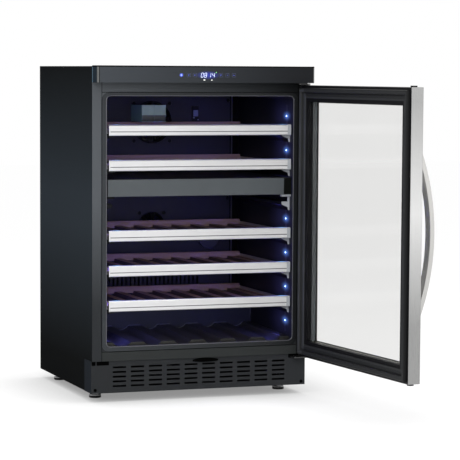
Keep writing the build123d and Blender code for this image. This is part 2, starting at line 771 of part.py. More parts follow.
with BuildPart() as upper_fan_impeller:
    fan_impeller(upper_fan_size, upper_fan_plane)
save(upper_fan_impeller.part, "upper_fan_impeller")

with BuildPart() as lower_fan_impeller:
    fan_impeller(lower_fan_size, lower_fan_plane)
save(lower_fan_impeller.part, "lower_fan_impeller")

# ================================================================ on the duct covers
with BuildPart() as charcoal_filter:
    rod(filter_x, cover_front, filter_z, filter_radius, filter_proud, (0, -1, 0))
    fillet(charcoal_filter.edges().filter_by(GeomType.CIRCLE).sort_by(Axis.Y)[0], filter_round)
    rod(filter_x, cover_front, filter_z, filter_body_radius, filter_body_length, (0, 1, 0))
save(charcoal_filter.part, "charcoal_filter")

sensor_high = upper_cover_top - sensor_drop
sensor_low = sensor_high - sensor_height
with BuildPart() as sensor_clip:
    block(*sensor_x, cover_front - sensor_t, cover_front, sensor_low, sensor_high)
    fillet(sensor_clip.edges().filter_by(Axis.Z).group_by(Axis.Y)[0], sensor_round)
    block(sensor_x[0] + sensor_wall, sensor_x[1] - sensor_wall, cover_front - sensor_t,
          cover_front - sensor_wall, sensor_low + sensor_bar, sensor_high - sensor_bar, Mode.SUBTRACT)
    rod((sensor_x[0] + sensor_x[1]) / 2, cover_front - sensor_t / 2, sensor_low + sensor_bar, sensor_radius,
        sensor_height - 2 * sensor_bar, (0, 0, 1))
save(sensor_clip.part, "sensor_clip")

box_middle = (box_x[0] + box_x[1]) / 2
box_front = cover_front - box_length
box_high = upper_cover_top - box_drop
box_low = box_high - box_height
with BuildPart() as humidity_box:
    block(*box_x, box_front, cover_front, box_low, box_high)
    fillet(humidity_box.edges().filter_by(Axis.Z).group_by(Axis.Y)[0], box_round)
    block(box_middle - box_seam / 2, box_middle + box_seam / 2, box_front, box_front + box_seam,
          box_low, box_high, Mode.SUBTRACT)
save(humidity_box.part, "humidity_box")

evaporator_y = pocket_back - evaporator_t / 2
evaporator_span = 2 * (pocket_half - evaporator_side_gap)
with BuildPart() as evaporators:
    for low, high in ((upper_cover_bottom, upper_cover_top), (lower_cover_bottom, lower_cover_top)):
        fin_low = low + evaporator_inset
        fin_high = high - evaporator_inset
        tube_pitch = (fin_high - fin_low) / evaporator_rows
        with Locations((0, evaporator_y, (fin_low + fin_high) / 2)):
            with GridLocations(evaporator_span / (evaporator_fins - 1), 1, evaporator_fins, 1):
                Box(fin_t, evaporator_t, fin_high - fin_low)
        for row in range(evaporator_rows):
            rod(-evaporator_span / 2, evaporator_y, fin_low + (row + 0.5) * tube_pitch, tube_radius,
                evaporator_span, (1, 0, 0))
save(evaporators.part, "evaporators")

# ================================================================ machine space
compressor_base = tray_top + compressor_foot_t
with BuildPart() as compressor:
    block(compressor_x - compressor_base_half_x, compressor_x + compressor_base_half_x,
          compressor_y - compressor_base_half_y, compressor_y + compressor_base_half_y,
          tray_top, compressor_base)
    with BuildSketch(Plane.XY.offset(compressor_base)):
        with Locations((compressor_x, compressor_y)):
            Ellipse(compressor_half_x, compressor_half_y)
    extrude(amount=compressor_height)
    fillet(compressor.edges().group_by(Axis.Z)[-1], compressor_round)
save(compressor.part, "compressor")

drip_floor = compressor_base + compressor_height
with BuildPart() as drip_tray:
    block(compressor_x - drip_half_x, compressor_x + drip_half_x, compressor_y - drip_half_y,
          compressor_y + drip_half_y, drip_floor, drip_floor + drip_height)
    drip_mouth = drip_tray.faces().sort_by(Axis.Z)[-1]
    offset(amount=-drip_wall, openings=drip_mouth)
save(drip_tray.part, "drip_tray")

condenser_right = condenser_x + condenser_width
condenser_middle_x = condenser_x + condenser_width / 2
condenser_middle_y = condenser_y + condenser_length / 2
with BuildPart() as condenser:
    block(condenser_x, condenser_right, condenser_y, condenser_y + condenser_length,
          tray_top, tray_top + fin_t)
    with Locations((condenser_middle_x, condenser_middle_y, tray_top + condenser_height / 2)):
        with GridLocations(1, (condenser_length - fin_t) / (condenser_fins - 1), 1, condenser_fins):
            Box(condenser_width, fin_t, condenser_height)
    for side in (-1, 1):
        for row in range(condenser_rows):
            row_z = tray_top + (row + 1) * condenser_height / (condenser_rows + 1)
            rod(condenser_middle_x + side * condenser_width / 4, condenser_y, row_z, tube_radius,
                condenser_length, (0, 1, 0))
save(condenser.part, "condenser")

condenser_fan_x = condenser_right + condenser_fan_gap
condenser_fan_z = tray_top + fan_stand_height + upper_fan_size / 2
condenser_fan_plane = Plane(origin=(condenser_fan_x, condenser_middle_y, condenser_fan_z),
                            x_dir=(0, 1, 0), z_dir=(1, 0, 0))
with BuildPart() as condenser_fan_frame:
    fan_frame(upper_fan_size, condenser_fan_plane)
    block(condenser_fan_x, condenser_fan_x + fan_depth, condenser_middle_y - fan_stand_half,
          condenser_middle_y + fan_stand_half, tray_top, tray_top + fan_stand_height)
save(condenser_fan_frame.part, "condenser_fan_frame")

with BuildPart() as condenser_fan_impeller:
    fan_impeller(upper_fan_size, condenser_fan_plane)
save(condenser_fan_impeller.part, "condenser_fan_impeller")



def pipe(*points):
    """A round pipe through the points, bent at each corner."""
    with BuildLine() as run:
        FilletPolyline(*points, radius=pipe_bend)
    with BuildSketch(Plane(origin=run.line @ 0, z_dir=run.line % 0)) as section:
        Circle(pipe_radius)
    sweep(section.sketch, path=run.line)


pipe_x = condenser_middle_x + condenser_width / 4
pipe_y = condenser_y - pipe_gap
pipe_high = tray_top + condenser_rows * condenser_height / (condenser_rows + 1)
pipe_low = tray_top + condenser_height / (condenser_rows + 1)
port_z = compressor_base + port_height
port_y = compressor_y - compressor_half_y
suction_x = compressor_x + compressor_half_x + suction_gap
drier_x = condenser_right + drier_inset
riser_x = drier_x + drier_length + riser_gap
with BuildPart() as refrigerant_lines:
    pipe((pipe_x, condenser_y, pipe_high), (pipe_x, pipe_y, pipe_high), (compressor_x, pipe_y, pipe_high),
         (compressor_x, pipe_y, port_z), (compressor_x, port_y, port_z))
    pipe((suction_x, compressor_y, hump_ceiling), (suction_x, compressor_y, port_z),
         (compressor_x + compressor_half_x, compressor_y, port_z))
    pipe((pipe_x, condenser_y, pipe_low), (pipe_x, pipe_y, pipe_low), (riser_x, pipe_y, pipe_low),
         (riser_x, pipe_y, hump_ceiling))
    rod(drier_x, pipe_y, pipe_low, drier_radius, drier_length, (1, 0, 0))
save(refrigerant_lines.part, "refrigerant_lines")

inlet_socket_low = inlet_z - inlet_socket_height / 2
with BuildPart() as power_inlet:
    block(inlet_x - inlet_width / 2 - inlet_flange, inlet_x + inlet_width / 2 + inlet_flange,
          cabinet_depth, cabinet_depth + inlet_flange_t,
          inlet_z - inlet_height / 2 - inlet_flange, inlet_z + inlet_height / 2 + inlet_flange)
    block(inlet_x - inlet_width / 2, inlet_x + inlet_width / 2, cabinet_depth - inlet_depth, cabinet_depth,
          inlet_z - inlet_height / 2, inlet_z + inlet_height / 2)
    block(inlet_x - inlet_socket_width / 2, inlet_x + inlet_socket_width / 2,
          cabinet_depth - inlet_socket_depth, cabinet_depth + inlet_flange_t,
          inlet_socket_low, inlet_socket_low + inlet_socket_height, Mode.SUBTRACT)
    for pin_x, pin_z in ((-inlet_pin_pitch, -inlet_pin_drop), (0, inlet_pin_drop),
                         (inlet_pin_pitch, -inlet_pin_drop)):
        block(inlet_x + pin_x - inlet_pin_width / 2, inlet_x + pin_x + inlet_pin_width / 2,
              cabinet_depth - inlet_socket_depth, cabinet_depth - inlet_socket_depth + inlet_pin_length,
              inlet_z + pin_z - inlet_pin_height / 2, inlet_z + pin_z + inlet_pin_height / 2)
save(power_inlet.part, "power_inlet")

# ================================================================ door
bush_places = ((hinge_x, door_bottom, 1), (hinge_x, door_top, -1))
plug_places = ((-hinge_x, door_bottom, 1), (-hinge_x, door_top, -1))


def bush_holes():
    """Holes for the hinge bushes and, at the free edge, for their plugs."""
    for place_x, edge_z, inward in bush_places + plug_places:
        rod(place_x, hinge_y, edge_z, bush_radius + bush_fit, bush_length, (0, 0, inward), Mode.SUBTRACT)


with BuildPart() as door_frame:
    block(-door_half, door_half, door_outer_y, door_inner_y, door_bottom, door_top)
    fillet(door_frame.faces().sort_by(Axis.Y)[0].edges(), shell_radius)
    offset(amount=-shell_t, openings=door_frame.faces().sort_by(Axis.Y)[-1])
    block(-door_half + window_stile, door_half - window_stile, door_outer_y, door_outer_y + shell_t,
          door_bottom + window_rail_bottom, door_top - window_rail_top, Mode.SUBTRACT)
    bush_holes()
save_door(door_frame.part, "door_frame")

frame_outer = door_half - shell_t
frame_front = door_outer_y + shell_t
frame_half = door_half - frame_margin
frame_low = door_bottom + frame_margin
frame_high = door_top - frame_margin
glass_back = door_inner_y - frame_lip
glass_half = frame_half + glass_overlap
glass_low = frame_low - glass_overlap
glass_high = frame_high + glass_overlap
cell_half = glass_half + glass_clearance
with BuildPart() as door_inner_frame:
    block(-frame_outer, frame_outer, frame_front, door_inner_y, door_bottom + shell_t, door_top - shell_t)
    fillet(door_inner_frame.faces().sort_by(Axis.Y)[0].edges(), shell_radius)
    block(-cell_half, cell_half, frame_front, glass_back, glass_low - glass_clearance,
          glass_high + glass_clearance, Mode.SUBTRACT)
    block(-frame_half, frame_half, glass_back, door_inner_y, frame_low, frame_high, Mode.SUBTRACT)
    bush_holes()
save_door(door_inner_frame.part, "door_inner_frame")

inner_pane_front = glass_back - glass_t
outer_pane_back = inner_pane_front - glass_gap
with BuildPart() as door_glass_inner:
    block(-glass_half, glass_half, inner_pane_front, glass_back, glass_low, glass_high)
save_door(door_glass_inner.part, "door_glass_inner")

with BuildPart() as door_glass_outer:
    block(-glass_half, glass_half, outer_pane_back - glass_t, outer_pane_back, glass_low, glass_high)
save_door(door_glass_outer.part, "door_glass_outer")

with BuildPart() as glass_spacer:
    block(-glass_half, glass_half, outer_pane_back, inner_pane_front, glass_low, glass_high)
    block(-glass_half + spacer_width, glass_half - spacer_width, outer_pane_back, inner_pane_front,
          glass_low + spacer_width, glass_high - spacer_width, Mode.SUBTRACT)
save_door(glass_spacer.part, "glass_spacer")


def seal_ring(inset, width, height):
    """A flat ring on the door's inner side, inset from the seal's outer edge."""
    half = door_half - seal_margin - inset
    low = door_bottom + seal_margin + inset
    high = door_top - seal_margin - inset
    back = door_inner_y + height
    block(-half, half, door_inner_y, back, low, high)
    block(-half + width, half - width, door_inner_y, back, low + width, high - width, Mode.SUBTRACT)


with BuildPart() as seal_bulb_ring:
    seal_ring(0, seal_bulb, door_gap - seal_clearance)
    fillet(seal_bulb_ring.faces().sort_by(Axis.Y)[-1].edges(), seal_radius)

with BuildPart() as door_gasket:
    seal_ring(seal_bulb, seal_width - seal_bulb, seal_fin)
    add(seal_bulb_ring.part)
save_door(door_gasket.part, "door_gasket")

handle_middle_y = door_outer_y - handle_reach + handle_outer_radius
handle_centre_z = (door_bottom + door_top) / 2 + handle_rise
with BuildPart() as door_handle:
    with BuildSketch(Plane.YZ.offset(-door_half + handle_inset)):
        with Locations((handle_middle_y, handle_centre_z)):
            Circle(handle_outer_radius)
            Circle(handle_outer_radius - handle_t, mode=Mode.SUBTRACT)
        with Locations((door_outer_y - handle_reach, handle_centre_z)):
            Rectangle(2 * handle_reach, 2 * handle_outer_radius, mode=Mode.INTERSECT)
    extrude(amount=handle_width)
save_door(door_handle.part, "door_handle")

with BuildPart() as hinge_bushes:
    for place_x, edge_z, inward in bush_places:
        flange_z = edge_z - inward * bush_flange_t
        rod(place_x, hinge_y, edge_z, bush_radius, bush_length, (0, 0, inward))
        rod(place_x, hinge_y, flange_z, bush_flange_radius, bush_flange_t, (0, 0, inward))
        rod(place_x, hinge_y, flange_z, pin_radius + pin_clearance, bush_length + bush_flange_t - bush_floor,
            (0, 0, inward), Mode.SUBTRACT)
    for place_x, edge_z, inward in plug_places:
        rod(place_x, hinge_y, edge_z, bush_radius, bush_length, (0, 0, inward))
        rod(place_x, hinge_y, edge_z, plug_cap_radius, plug_cap_t, (0, 0, -inward))
save_door(hinge_bushes.part, "hinge_bushes")

# ================================================================ shelves
trim_half = opening_half - shelf_front_gap
trim_back = shelf_front_y + shelf_front_t
rack_half = opening_half - rack_gap
board_inner = rack_half - rack_side_width
slat_pitch = (2 * (board_inner - slat_side_gap) - slat_width) / (slat_count - 1)
slide_inner = rail_arm_x + clearance
for number, level in enumerate(shelf_levels, start=1):
    trim_low = front_edge(level)
    trim_high = trim_low + shelf_front_height
    slide_low = trim_low + runner_arm_above + clearance
    board_low_z = slide_low + slide_t
    board_top = trim_high - rail_board_drop
    slat_top = board_top - slat_drop
    groove_z = trim_low + groove_low

    with BuildPart() as shelf_front:
        with BuildSketch(Plane.YZ.offset(-trim_half)):
            with BuildLine():
                Polyline((shelf_front_y + shelf_foot, trim_low), (trim_back, trim_low),
                         (trim_back, trim_high - shelf_lip_t),
                         (trim_back + shelf_lip, trim_high - shelf_lip_t),
                         (trim_back + shelf_lip, trim_high), (shelf_front_y + shelf_bevel, trim_high),
                         (shelf_front_y, trim_high - shelf_bevel),
                         (shelf_front_y, groove_z + groove_height),
                         (shelf_front_y + groove_depth, groove_z + groove_height),
                         (shelf_front_y + groove_depth, groove_z), (shelf_front_y, groove_z),
                         (shelf_front_y, trim_low + shelf_foot), close=True)
            make_face()
        extrude(amount=2 * trim_half)
    save(shelf_front.part, f"shelf_{number}_front")

    with BuildPart() as shelf_rack:
        block(-rack_half, rack_half, trim_back, trim_back + rail_board_t,
              trim_low + rack_front_drop, trim_high - shelf_lip_t)
        block(-rack_half, rack_half, rack_back - rail_board_t, rack_back, board_low_z, board_top)
        for side in (-1, 1):
            side_block(side, board_inner, rack_half, trim_back, rack_back, board_low_z, slat_top)
        with Locations((0, (trim_back + rack_back) / 2, slat_top - slat_t / 2)):
            with GridLocations(slat_pitch, 1, slat_count, 1):
                Box(slat_width, rack_back - trim_back, slat_t)
    save(shelf_rack.part, f"shelf_{number}_rack")

    with BuildPart() as shelf_slides:
        for side in (-1, 1):
            side_block(side, slide_inner, rack_half + slide_web, runner_front, rack_back,
                       slide_low, slide_low + slide_t)
            side_block(side, rack_half, rack_half + slide_web, runner_front, rack_back,
                       slide_low, slide_low + slide_web_height)
    save(shelf_slides.part, f"shelf_{number}_slides")
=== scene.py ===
"""Looks of an undercounter wine cooler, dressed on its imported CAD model.

Metres, +Z up, in the frame of the model: the origin is on the floor under the middle
of the front frame, +X is to the right of a person facing the door.
"""
import json
import math

import bmesh
import bpy
from mathutils import Matrix, Vector


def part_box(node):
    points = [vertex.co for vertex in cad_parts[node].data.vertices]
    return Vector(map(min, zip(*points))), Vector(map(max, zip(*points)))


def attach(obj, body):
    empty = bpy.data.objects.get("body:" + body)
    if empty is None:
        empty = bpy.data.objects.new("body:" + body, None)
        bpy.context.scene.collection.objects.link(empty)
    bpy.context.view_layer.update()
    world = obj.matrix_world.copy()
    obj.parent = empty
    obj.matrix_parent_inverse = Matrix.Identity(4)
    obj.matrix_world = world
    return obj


MM = 0.001
SHADER = "Principled BSDF"
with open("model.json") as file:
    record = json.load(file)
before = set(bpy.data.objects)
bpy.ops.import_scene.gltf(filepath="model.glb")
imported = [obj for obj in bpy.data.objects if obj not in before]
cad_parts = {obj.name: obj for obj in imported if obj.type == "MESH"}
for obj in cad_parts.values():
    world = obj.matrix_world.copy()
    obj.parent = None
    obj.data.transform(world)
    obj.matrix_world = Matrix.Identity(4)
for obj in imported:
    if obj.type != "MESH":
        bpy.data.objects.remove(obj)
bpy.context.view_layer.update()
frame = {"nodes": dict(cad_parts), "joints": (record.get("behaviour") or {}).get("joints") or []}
nodes = frame["nodes"]
shelves = [f"shelf_{number}" for number in range(1, 6)]
foot_names = ("foot_front_left", "foot_front_right", "foot_rear_left", "foot_rear_right")


# ------------ the open door
hinge = next(joint for joint in frame["joints"] if joint["name"] == "door_hinge")
hinge_point = Vector(hinge["pos_m"])
open_angle = math.radians(-hinge["range_deg"][0])
door_swing = (Matrix.Translation(hinge_point) @ Matrix.Rotation(open_angle, 4, "Z")
              @ Matrix.Translation(-hinge_point))
door_shut = door_swing.inverted()


def shut_box(node_name):
    """A door node's corners, with the door shut."""
    points = [door_shut @ vertex.co for vertex in nodes[node_name].data.vertices]
    low = Vector(min(point[i] for point in points) for i in range(3))
    high = Vector(max(point[i] for point in points) for i in range(3))
    return low, high


# ------------ places read from the model
half_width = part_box("front_frame")[1].x
liner_low, liner_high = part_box("inner_liner")
fascia_low, fascia_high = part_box("fascia_housing")
panel_low, panel_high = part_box("touch_panel")
kick_low, kick_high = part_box("kick_plate")
wall_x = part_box("zone_divider")[1].x  # the liner's inner side walls
crest_level = fascia_high.z - 3.6 * MM  # above it the fascia is black
display_centre = Vector((0.0, panel_low.y, panel_low.z + 19.7 * MM))

led_count = 7
led_margin = 30 * MM  # outermost lens to the strip's end
led_low, led_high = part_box("led_strips")
led_top = led_high.z - led_margin
led_pitch = (led_high.z - led_low.z - 2 * led_margin) / (led_count - 1)
led_line = (led_low.y + led_high.y) / 2
led_power = 0.36

flange_y = 1.5 * MM  # the liner's flange ends here
hump_level = 0.2135  # just over the step in the liner's floor
side_highlight_middle, side_highlight_reach = 0.50, 0.42  # where the painted highlight on the flanks is brightest
door_sheen_middle, door_sheen_reach = 0.52, 0.27  # where the painted reflection on the door's steel is brightest


# ------------ node helpers
def new_material(name):
    """An empty material with its principled shader, and its node tree."""
    material = bpy.data.materials.new(name)
    material.use_nodes = True
    return material, material.node_tree


def set_shader(tree, **values):
    """Numbers and colours for a shader's own sockets, such as Emission_Strength."""
    for name, value in values.items():
        tree.nodes[SHADER].inputs[name.replace("_", " ")].default_value = value


def feed(tree, value, slot):
    """Link a value or colour to a shader's socket."""
    tree.links.new(value, tree.nodes[SHADER].inputs[slot])


def mapped(tree, stretch=(1, 1, 1)):
    """Coordinates in metres on the piece, stretched along the axes."""
    coordinates = tree.nodes.new("ShaderNodeTexCoord")
    mapping = tree.nodes.new("ShaderNodeMapping")
    mapping.inputs["Scale"].default_value = stretch
    tree.links.new(coordinates.outputs["Object"], mapping.inputs["Vector"])
    return mapping.outputs["Vector"]


def noise(tree, vector, scale, detail=3.0):
    """Fractal noise between 0 and 1."""
    node = tree.nodes.new("ShaderNodeTexNoise")
    node.inputs["Scale"].default_value = scale
    node.inputs["Detail"].default_value = detail
    tree.links.new(vector, node.inputs["Vector"])
    return node.outputs["Fac"]


def ranged(tree, value, low, high, start=0.3, end=0.7):
    """A value carried from start..end to low..high."""
    node = tree.nodes.new("ShaderNodeMapRange")
    node.inputs["From Min"].default_value = start
    node.inputs["From Max"].default_value = end
    node.inputs["To Min"].default_value = low
    node.inputs["To Max"].default_value = high
    tree.links.new(value, node.inputs["Value"])
    return node.outputs["Result"]


def mixed(tree, factor, first, second):
    """Blend of two colours, each written out or taken from a socket."""
    node = tree.nodes.new("ShaderNodeMix")
    node.data_type = "RGBA"
    tree.links.new(factor, node.inputs[0])
    for socket, colour in ((node.inputs[6], first), (node.inputs[7], second)):
        if isinstance(colour, bpy.types.NodeSocket):
            tree.links.new(colour, socket)
        else:
            socket.default_value = (*colour, 1)
    return node.outputs[2]


def computed(tree, operation, first, second=0.0):
    """A value worked out from two others, each a socket or a number."""
    node = tree.nodes.new("ShaderNodeMath")
    node.operation = operation
    for socket, value in zip(node.inputs, (first, second)):
        if isinstance(value, (int, float)):
            socket.default_value = value
        else:
            tree.links.new(value, socket)
    return node.outputs["Value"]


def away(tree, value, middle=0.0):
    """How far a value lies from a middle, either way."""
    if middle:
        value = computed(tree, "SUBTRACT", value, middle)
    return computed(tree, "ABSOLUTE", value)


def vector_computed(tree, operation, first, second=None):
    """A vector or length worked out from a socket and a second socket or three numbers."""
    node = tree.nodes.new("ShaderNodeVectorMath")
    node.operation = operation
    tree.links.new(first, node.inputs[0])
    if isinstance(second, bpy.types.NodeSocket):
        tree.links.new(second, node.inputs["Scale" if operation == "SCALE" else 1])
    elif second is not None:
        node.inputs[1].default_value = second
    return node.outputs["Value" if operation == "LENGTH" else "Vector"]


def axes(tree, vector):
    """The three parts of a vector."""
    split = tree.nodes.new("ShaderNodeSeparateXYZ")
    tree.links.new(vector, split.inputs["Vector"])
    return split.outputs


def normal_along(tree, axis):
    """The part of the surface's normal along an axis."""
    geometry = tree.nodes.new("ShaderNodeNewGeometry")
    return axes(tree, geometry.outputs["Normal"])[axis]


def facing(tree, axis, sign=0):
    """1 where the surface faces along an axis, either way or towards one sign only."""
    value = normal_along(tree, axis)
    value = computed(tree, "MULTIPLY", value, float(sign)) if sign else away(tree, value)
    return ranged(tree, value, 0.0, 1.0, 0.6, 0.8)


def opened(material):
    """A finish's node tree and the place on the piece, to paint more on it."""
    tree = material.node_tree
    return tree, axes(tree, mapped(tree))


def base_colour(tree):
    """The colour that reaches the shader so far."""
    return tree.nodes[SHADER].inputs["Base Color"].links[0].from_socket


def paint(tree, factor, first, second, slot="Base Color"):
    """Colour the shader with a blend of two colours."""
    feed(tree, mixed(tree, factor, first, second), slot)


def relief(tree, height, depth, edge):
    """Bump from a height, with the edges of the piece softened by a small radius."""
    bump = tree.nodes.new("ShaderNodeBump")
    bump.inputs["Distance"].default_value = depth
    tree.links.new(height, bump.inputs["Height"])
    bevel = tree.nodes.new("ShaderNodeBevel")
    bevel.samples = 4
    bevel.inputs["Radius"].default_value = edge
    tree.links.new(bevel.outputs["Normal"], bump.inputs["Normal"])
    feed(tree, bump.outputs["Normal"], "Normal")


# ------------ finishes
def finish(name, colour, roughness, metallic=0.0, grain=900.0, depth=0.02 * MM, tint=0.12,
           rough_spread=0.05, coat=0.0, specular=0.5):
    """A finish with a fine grain, cloudy tint and uneven gloss."""
    material, tree = new_material(name)
    fine = noise(tree, mapped(tree), grain)
    cloud = noise(tree, mapped(tree), 14.0)
    dark = [channel * (1 - tint) for channel in colour]
    light = [min(1.0, channel * (1 + tint)) for channel in colour]
    paint(tree, cloud, dark, light)
    feed(tree, ranged(tree, fine, roughness - rough_spread, roughness + rough_spread), "Roughness")
    set_shader(tree, Metallic=metallic, Coat_Weight=coat, Specular_IOR_Level=specular)
    relief(tree, fine, depth, 0.6 * MM)
    return material


def brushed(name, colour, roughness, along):
    """Metal brushed along one axis: long streaks in its tint, gloss and relief."""
    material, tree = new_material(name)
    stretch = [1.0 if axis == along else 60.0 for axis in "XYZ"]
    streaks = noise(tree, mapped(tree, stretch), 30.0, 6.0)
    cloud = noise(tree, mapped(tree), 9.0)
    dark = [channel * 0.86 for channel in colour]
    paint(tree, ranged(tree, streaks, 0.0, 1.0), dark, colour)
    level = computed(tree, "MULTIPLY", ranged(tree, streaks, roughness - 0.06, roughness + 0.08),
                     ranged(tree, cloud, 0.92, 1.08))
    feed(tree, level, "Roughness")
    set_shader(tree, Metallic=1.0)
    relief(tree, streaks, 0.03 * MM, 0.5 * MM)
    return material


def wood(name, light, dark):
    """Wood grained along the slats, and across the cabinet on the faces to the front."""
    material, tree = new_material(name)
    to_front = computed(tree, "GREATER_THAN", away(tree, normal_along(tree, "Y")), 0.7)
    along = noise(tree, mapped(tree, (160.0, 7.0, 160.0)), 1.0, 4.0)
    across = noise(tree, mapped(tree, (7.0, 160.0, 160.0)), 1.0, 4.0)
    choice = tree.nodes.new("ShaderNodeMix")
    for index, value in ((0, to_front), (2, along), (3, across)):
        tree.links.new(value, choice.inputs[index])
    grain = choice.outputs[0]
    tone = mixed(tree, ranged(tree, grain, 0.0, 1.0), dark, light)
    # Painted shade: the faces turned across the cabinet, the slats' sides, get a fifth of the dark
    # tone.
    paint(tree, facing(tree, "X"), tone, [0.22 * channel for channel in dark])
    feed(tree, ranged(tree, grain, 0.45, 0.6), "Roughness")
    relief(tree, grain, 0.1 * MM, 1.0 * MM)
    return material


def glowing(name, colour, strength):
    """A lit segment or sign."""
    material, tree = new_material(name)
    grain = noise(tree, mapped(tree), 1500.0)
    dim = [channel * 0.85 for channel in colour]
    paint(tree, grain, dim, colour, "Emission Color")
    set_shader(tree, Base_Color=(*colour, 1), Roughness=0.4, Emission_Strength=strength)
    return material


def glass_pane(name):
    """Clear float glass with the faintest unevenness."""
    material, tree = new_material(name)
    ripple = noise(tree, mapped(tree), 6.0, 2.0)
    paint(tree, ripple, (0.892, 0.891, 0.887), (0.902, 0.901, 0.897))
    feed(tree, ranged(tree, ripple, 0.0, 0.015), "Roughness")
    set_shader(tree, IOR=1.06, Specular_IOR_Level=0.5, Transmission_Weight=1.0)
    return material


def lamp_distance(tree):
    """Distance from the nearest lens along the wall, counted less towards front and back."""
    place = axes(tree, mapped(tree))
    from_top = computed(tree, "SUBTRACT", place["Z"], led_top)
    up = computed(tree, "PINGPONG", from_top, led_pitch / 2)
    across = computed(tree, "MULTIPLY", computed(tree, "SUBTRACT", place["Y"], led_line), 0.45)
    return computed(tree, "SQRT", computed(tree, "ADD", computed(tree, "MULTIPLY", up, up),
                                           computed(tree, "MULTIPLY", across, across)))


def painted_led_halo(tree):
    """Painted glow on the side walls, standing in for the strips' light: blue close to each lens
    and violet further out.
    """
    distance = lamp_distance(tree)
    wall = facing(tree, "X")
    lit = []
    for reach, power, colour in ((19 * MM, 3.0, (0.13, 0.30, 1.0)),
                                 (70 * MM, 2.0, (0.010, 0.010, 0.040))):
        share = computed(tree, "POWER", ranged(tree, distance, 1.0, 0.0, 0.0, reach), power)
        lit.append(mixed(tree, computed(tree, "MULTIPLY", share, wall), (0.0, 0.0, 0.0), colour))
    return vector_computed(tree, "ADD", *lit)


def liner_material(name):
    """Dark moulded plastic with painted shade on its side walls and the lights' glow painted on
    them, and painted light falling off from left to right on the step's front and on a flange like
    the frame.
    """
    material = finish(name, (0.016, 0.017, 0.024), 0.42, grain=700.0, specular=0.2)
    tree, place = opened(material)
    # Painted shade: the side walls are darker than the back.
    walls = mixed(tree, facing(tree, "X"), base_colour(tree), (0.0075, 0.0080, 0.0095))
    low_part = computed(tree, "LESS_THAN", place["Z"], hump_level)
    step = computed(tree, "MULTIPLY", facing(tree, "Y", -1), low_part)
    # Painted light on the front of the step in the floor: lighter on the left, darker on the right.
    reach = ranged(tree, place["X"], 0.0, 1.0, -half_width, 0.6 * half_width)
    step_painted_light = mixed(tree, reach, (0.036, 0.039, 0.036), (0.020, 0.022, 0.026))
    walls = mixed(tree, step, walls, step_painted_light)
    # Painted light on the flange: lighter on the left, darker on the right.
    across = ranged(tree, place["X"], 0.0, 1.0, -half_width, half_width)
    flange = mixed(tree, across, (0.034, 0.038, 0.043), (0.009, 0.010, 0.011))
    front = computed(tree, "MULTIPLY", facing(tree, "Y", -1),
                     computed(tree, "LESS_THAN", place["Y"], flange_y))
    paint(tree, front, walls, flange)
    # Painted glow of the strips' light on the side walls.
    feed(tree, painted_led_halo(tree), "Emission Color")
    set_shader(tree, Emission_Strength=1.0)
    return material


def led_strip_material(name, lens_x):
    """Dark strip with the painted halo of the strips' light; its small lenses, nearer to the middle
    than the wall, are lit.
    """
    material, tree = new_material(name)
    from_middle = away(tree, axes(tree, mapped(tree))["X"])
    lens = ranged(tree, from_middle, 1.0, 0.0, lens_x, lens_x + 0.2 * MM)
    core = ranged(tree, lamp_distance(tree), 1.0, 0.0, 0.7 * MM, 1.7 * MM)
    paint(tree, lens, (0.012, 0.012, 0.02), (0.5, 0.62, 1.0))
    glow = mixed(tree, core, (0.40, 0.85, 2.2), (4.0, 6.0, 10.0))
    # Around the lenses the strip carries the same painted glow as the walls.
    paint(tree, lens, painted_led_halo(tree), glow, "Emission Color")
    set_shader(tree, Emission_Strength=1.0, Roughness=0.4)
    return material


def door_steel(name):
    """Brushed stainless steel, with a painted reflection that makes it brightest half way up."""
    material = brushed(name, (0.33, 0.33, 0.327), 0.32, "Z")
    tree, place = opened(material)
    # Painted reflection: a brighter band half way up the door.
    share = ranged(tree, away(tree, place["Z"], door_sheen_middle), 0.85, 0.0, 0.0, door_sheen_reach)
    paint(tree, share, base_colour(tree), (0.66, 0.66, 0.655))
    return material


def rail_material(name, lit_end_y):
    """Dark moulded rails whose front ends on the right are painted light grey: a painted highlight
    where the light falls on them.
    """
    material = finish(name, (0.007, 0.007, 0.009), 0.45, specular=0.1)
    tree, place = opened(material)
    # Painted highlight on the rails' front ends on the right.
    right = computed(tree, "GREATER_THAN", place["X"], 0.0)
    cap = computed(tree, "MULTIPLY", right, computed(tree, "LESS_THAN", place["Y"], lit_end_y))
    paint(tree, cap, base_colour(tree), (0.40, 0.42, 0.45))
    return material


def painted_light_across(name, left, right):
    """Paint with painted light that changes its tone from left to right across the cabinet, a
    painted tone of light on the faces turned to the sides, and a fine grain.
    """
    material = finish(name, left, 0.48, depth=0.015 * MM, specular=0.0)
    tree, place = opened(material)
    # Painted light: the tone runs from the left colour to the right one across the cabinet.
    share = ranged(tree, place["X"], 0.0, 1.0, -half_width, half_width)
    speck = computed(tree, "MULTIPLY", noise(tree, mapped(tree), 900.0), 0.12)
    blend = mixed(tree, computed(tree, "ADD", share, speck), left, right)
    # Painted light and shade on the faces turned to the sides.
    paint(tree, facing(tree, "X"), blend, (0.024, 0.028, 0.034))
    return material


def frame_paint(name):
    """The front frame's paint, with painted light falling off from left to right, darker towards
    the bottom and darker on the rail under the liner.
    """
    material = painted_light_across(name, (0.104, 0.113, 0.124), (0.012, 0.013, 0.014))
    tree, place = opened(material)
    # Darker towards the bottom.
    low_share = ranged(tree, place["Z"], 0.9, 0.0, 0.25, 0.52)
    base = mixed(tree, low_share, base_colour(tree), (0.026, 0.028, 0.030))
    inside = computed(tree, "LESS_THAN", away(tree, place["X"]), liner_high.x)
    under = computed(tree, "LESS_THAN", place["Z"], liner_low.z)
    paint(tree, computed(tree, "MULTIPLY", inside, under), base, (0.036, 0.039, 0.039))
    return material


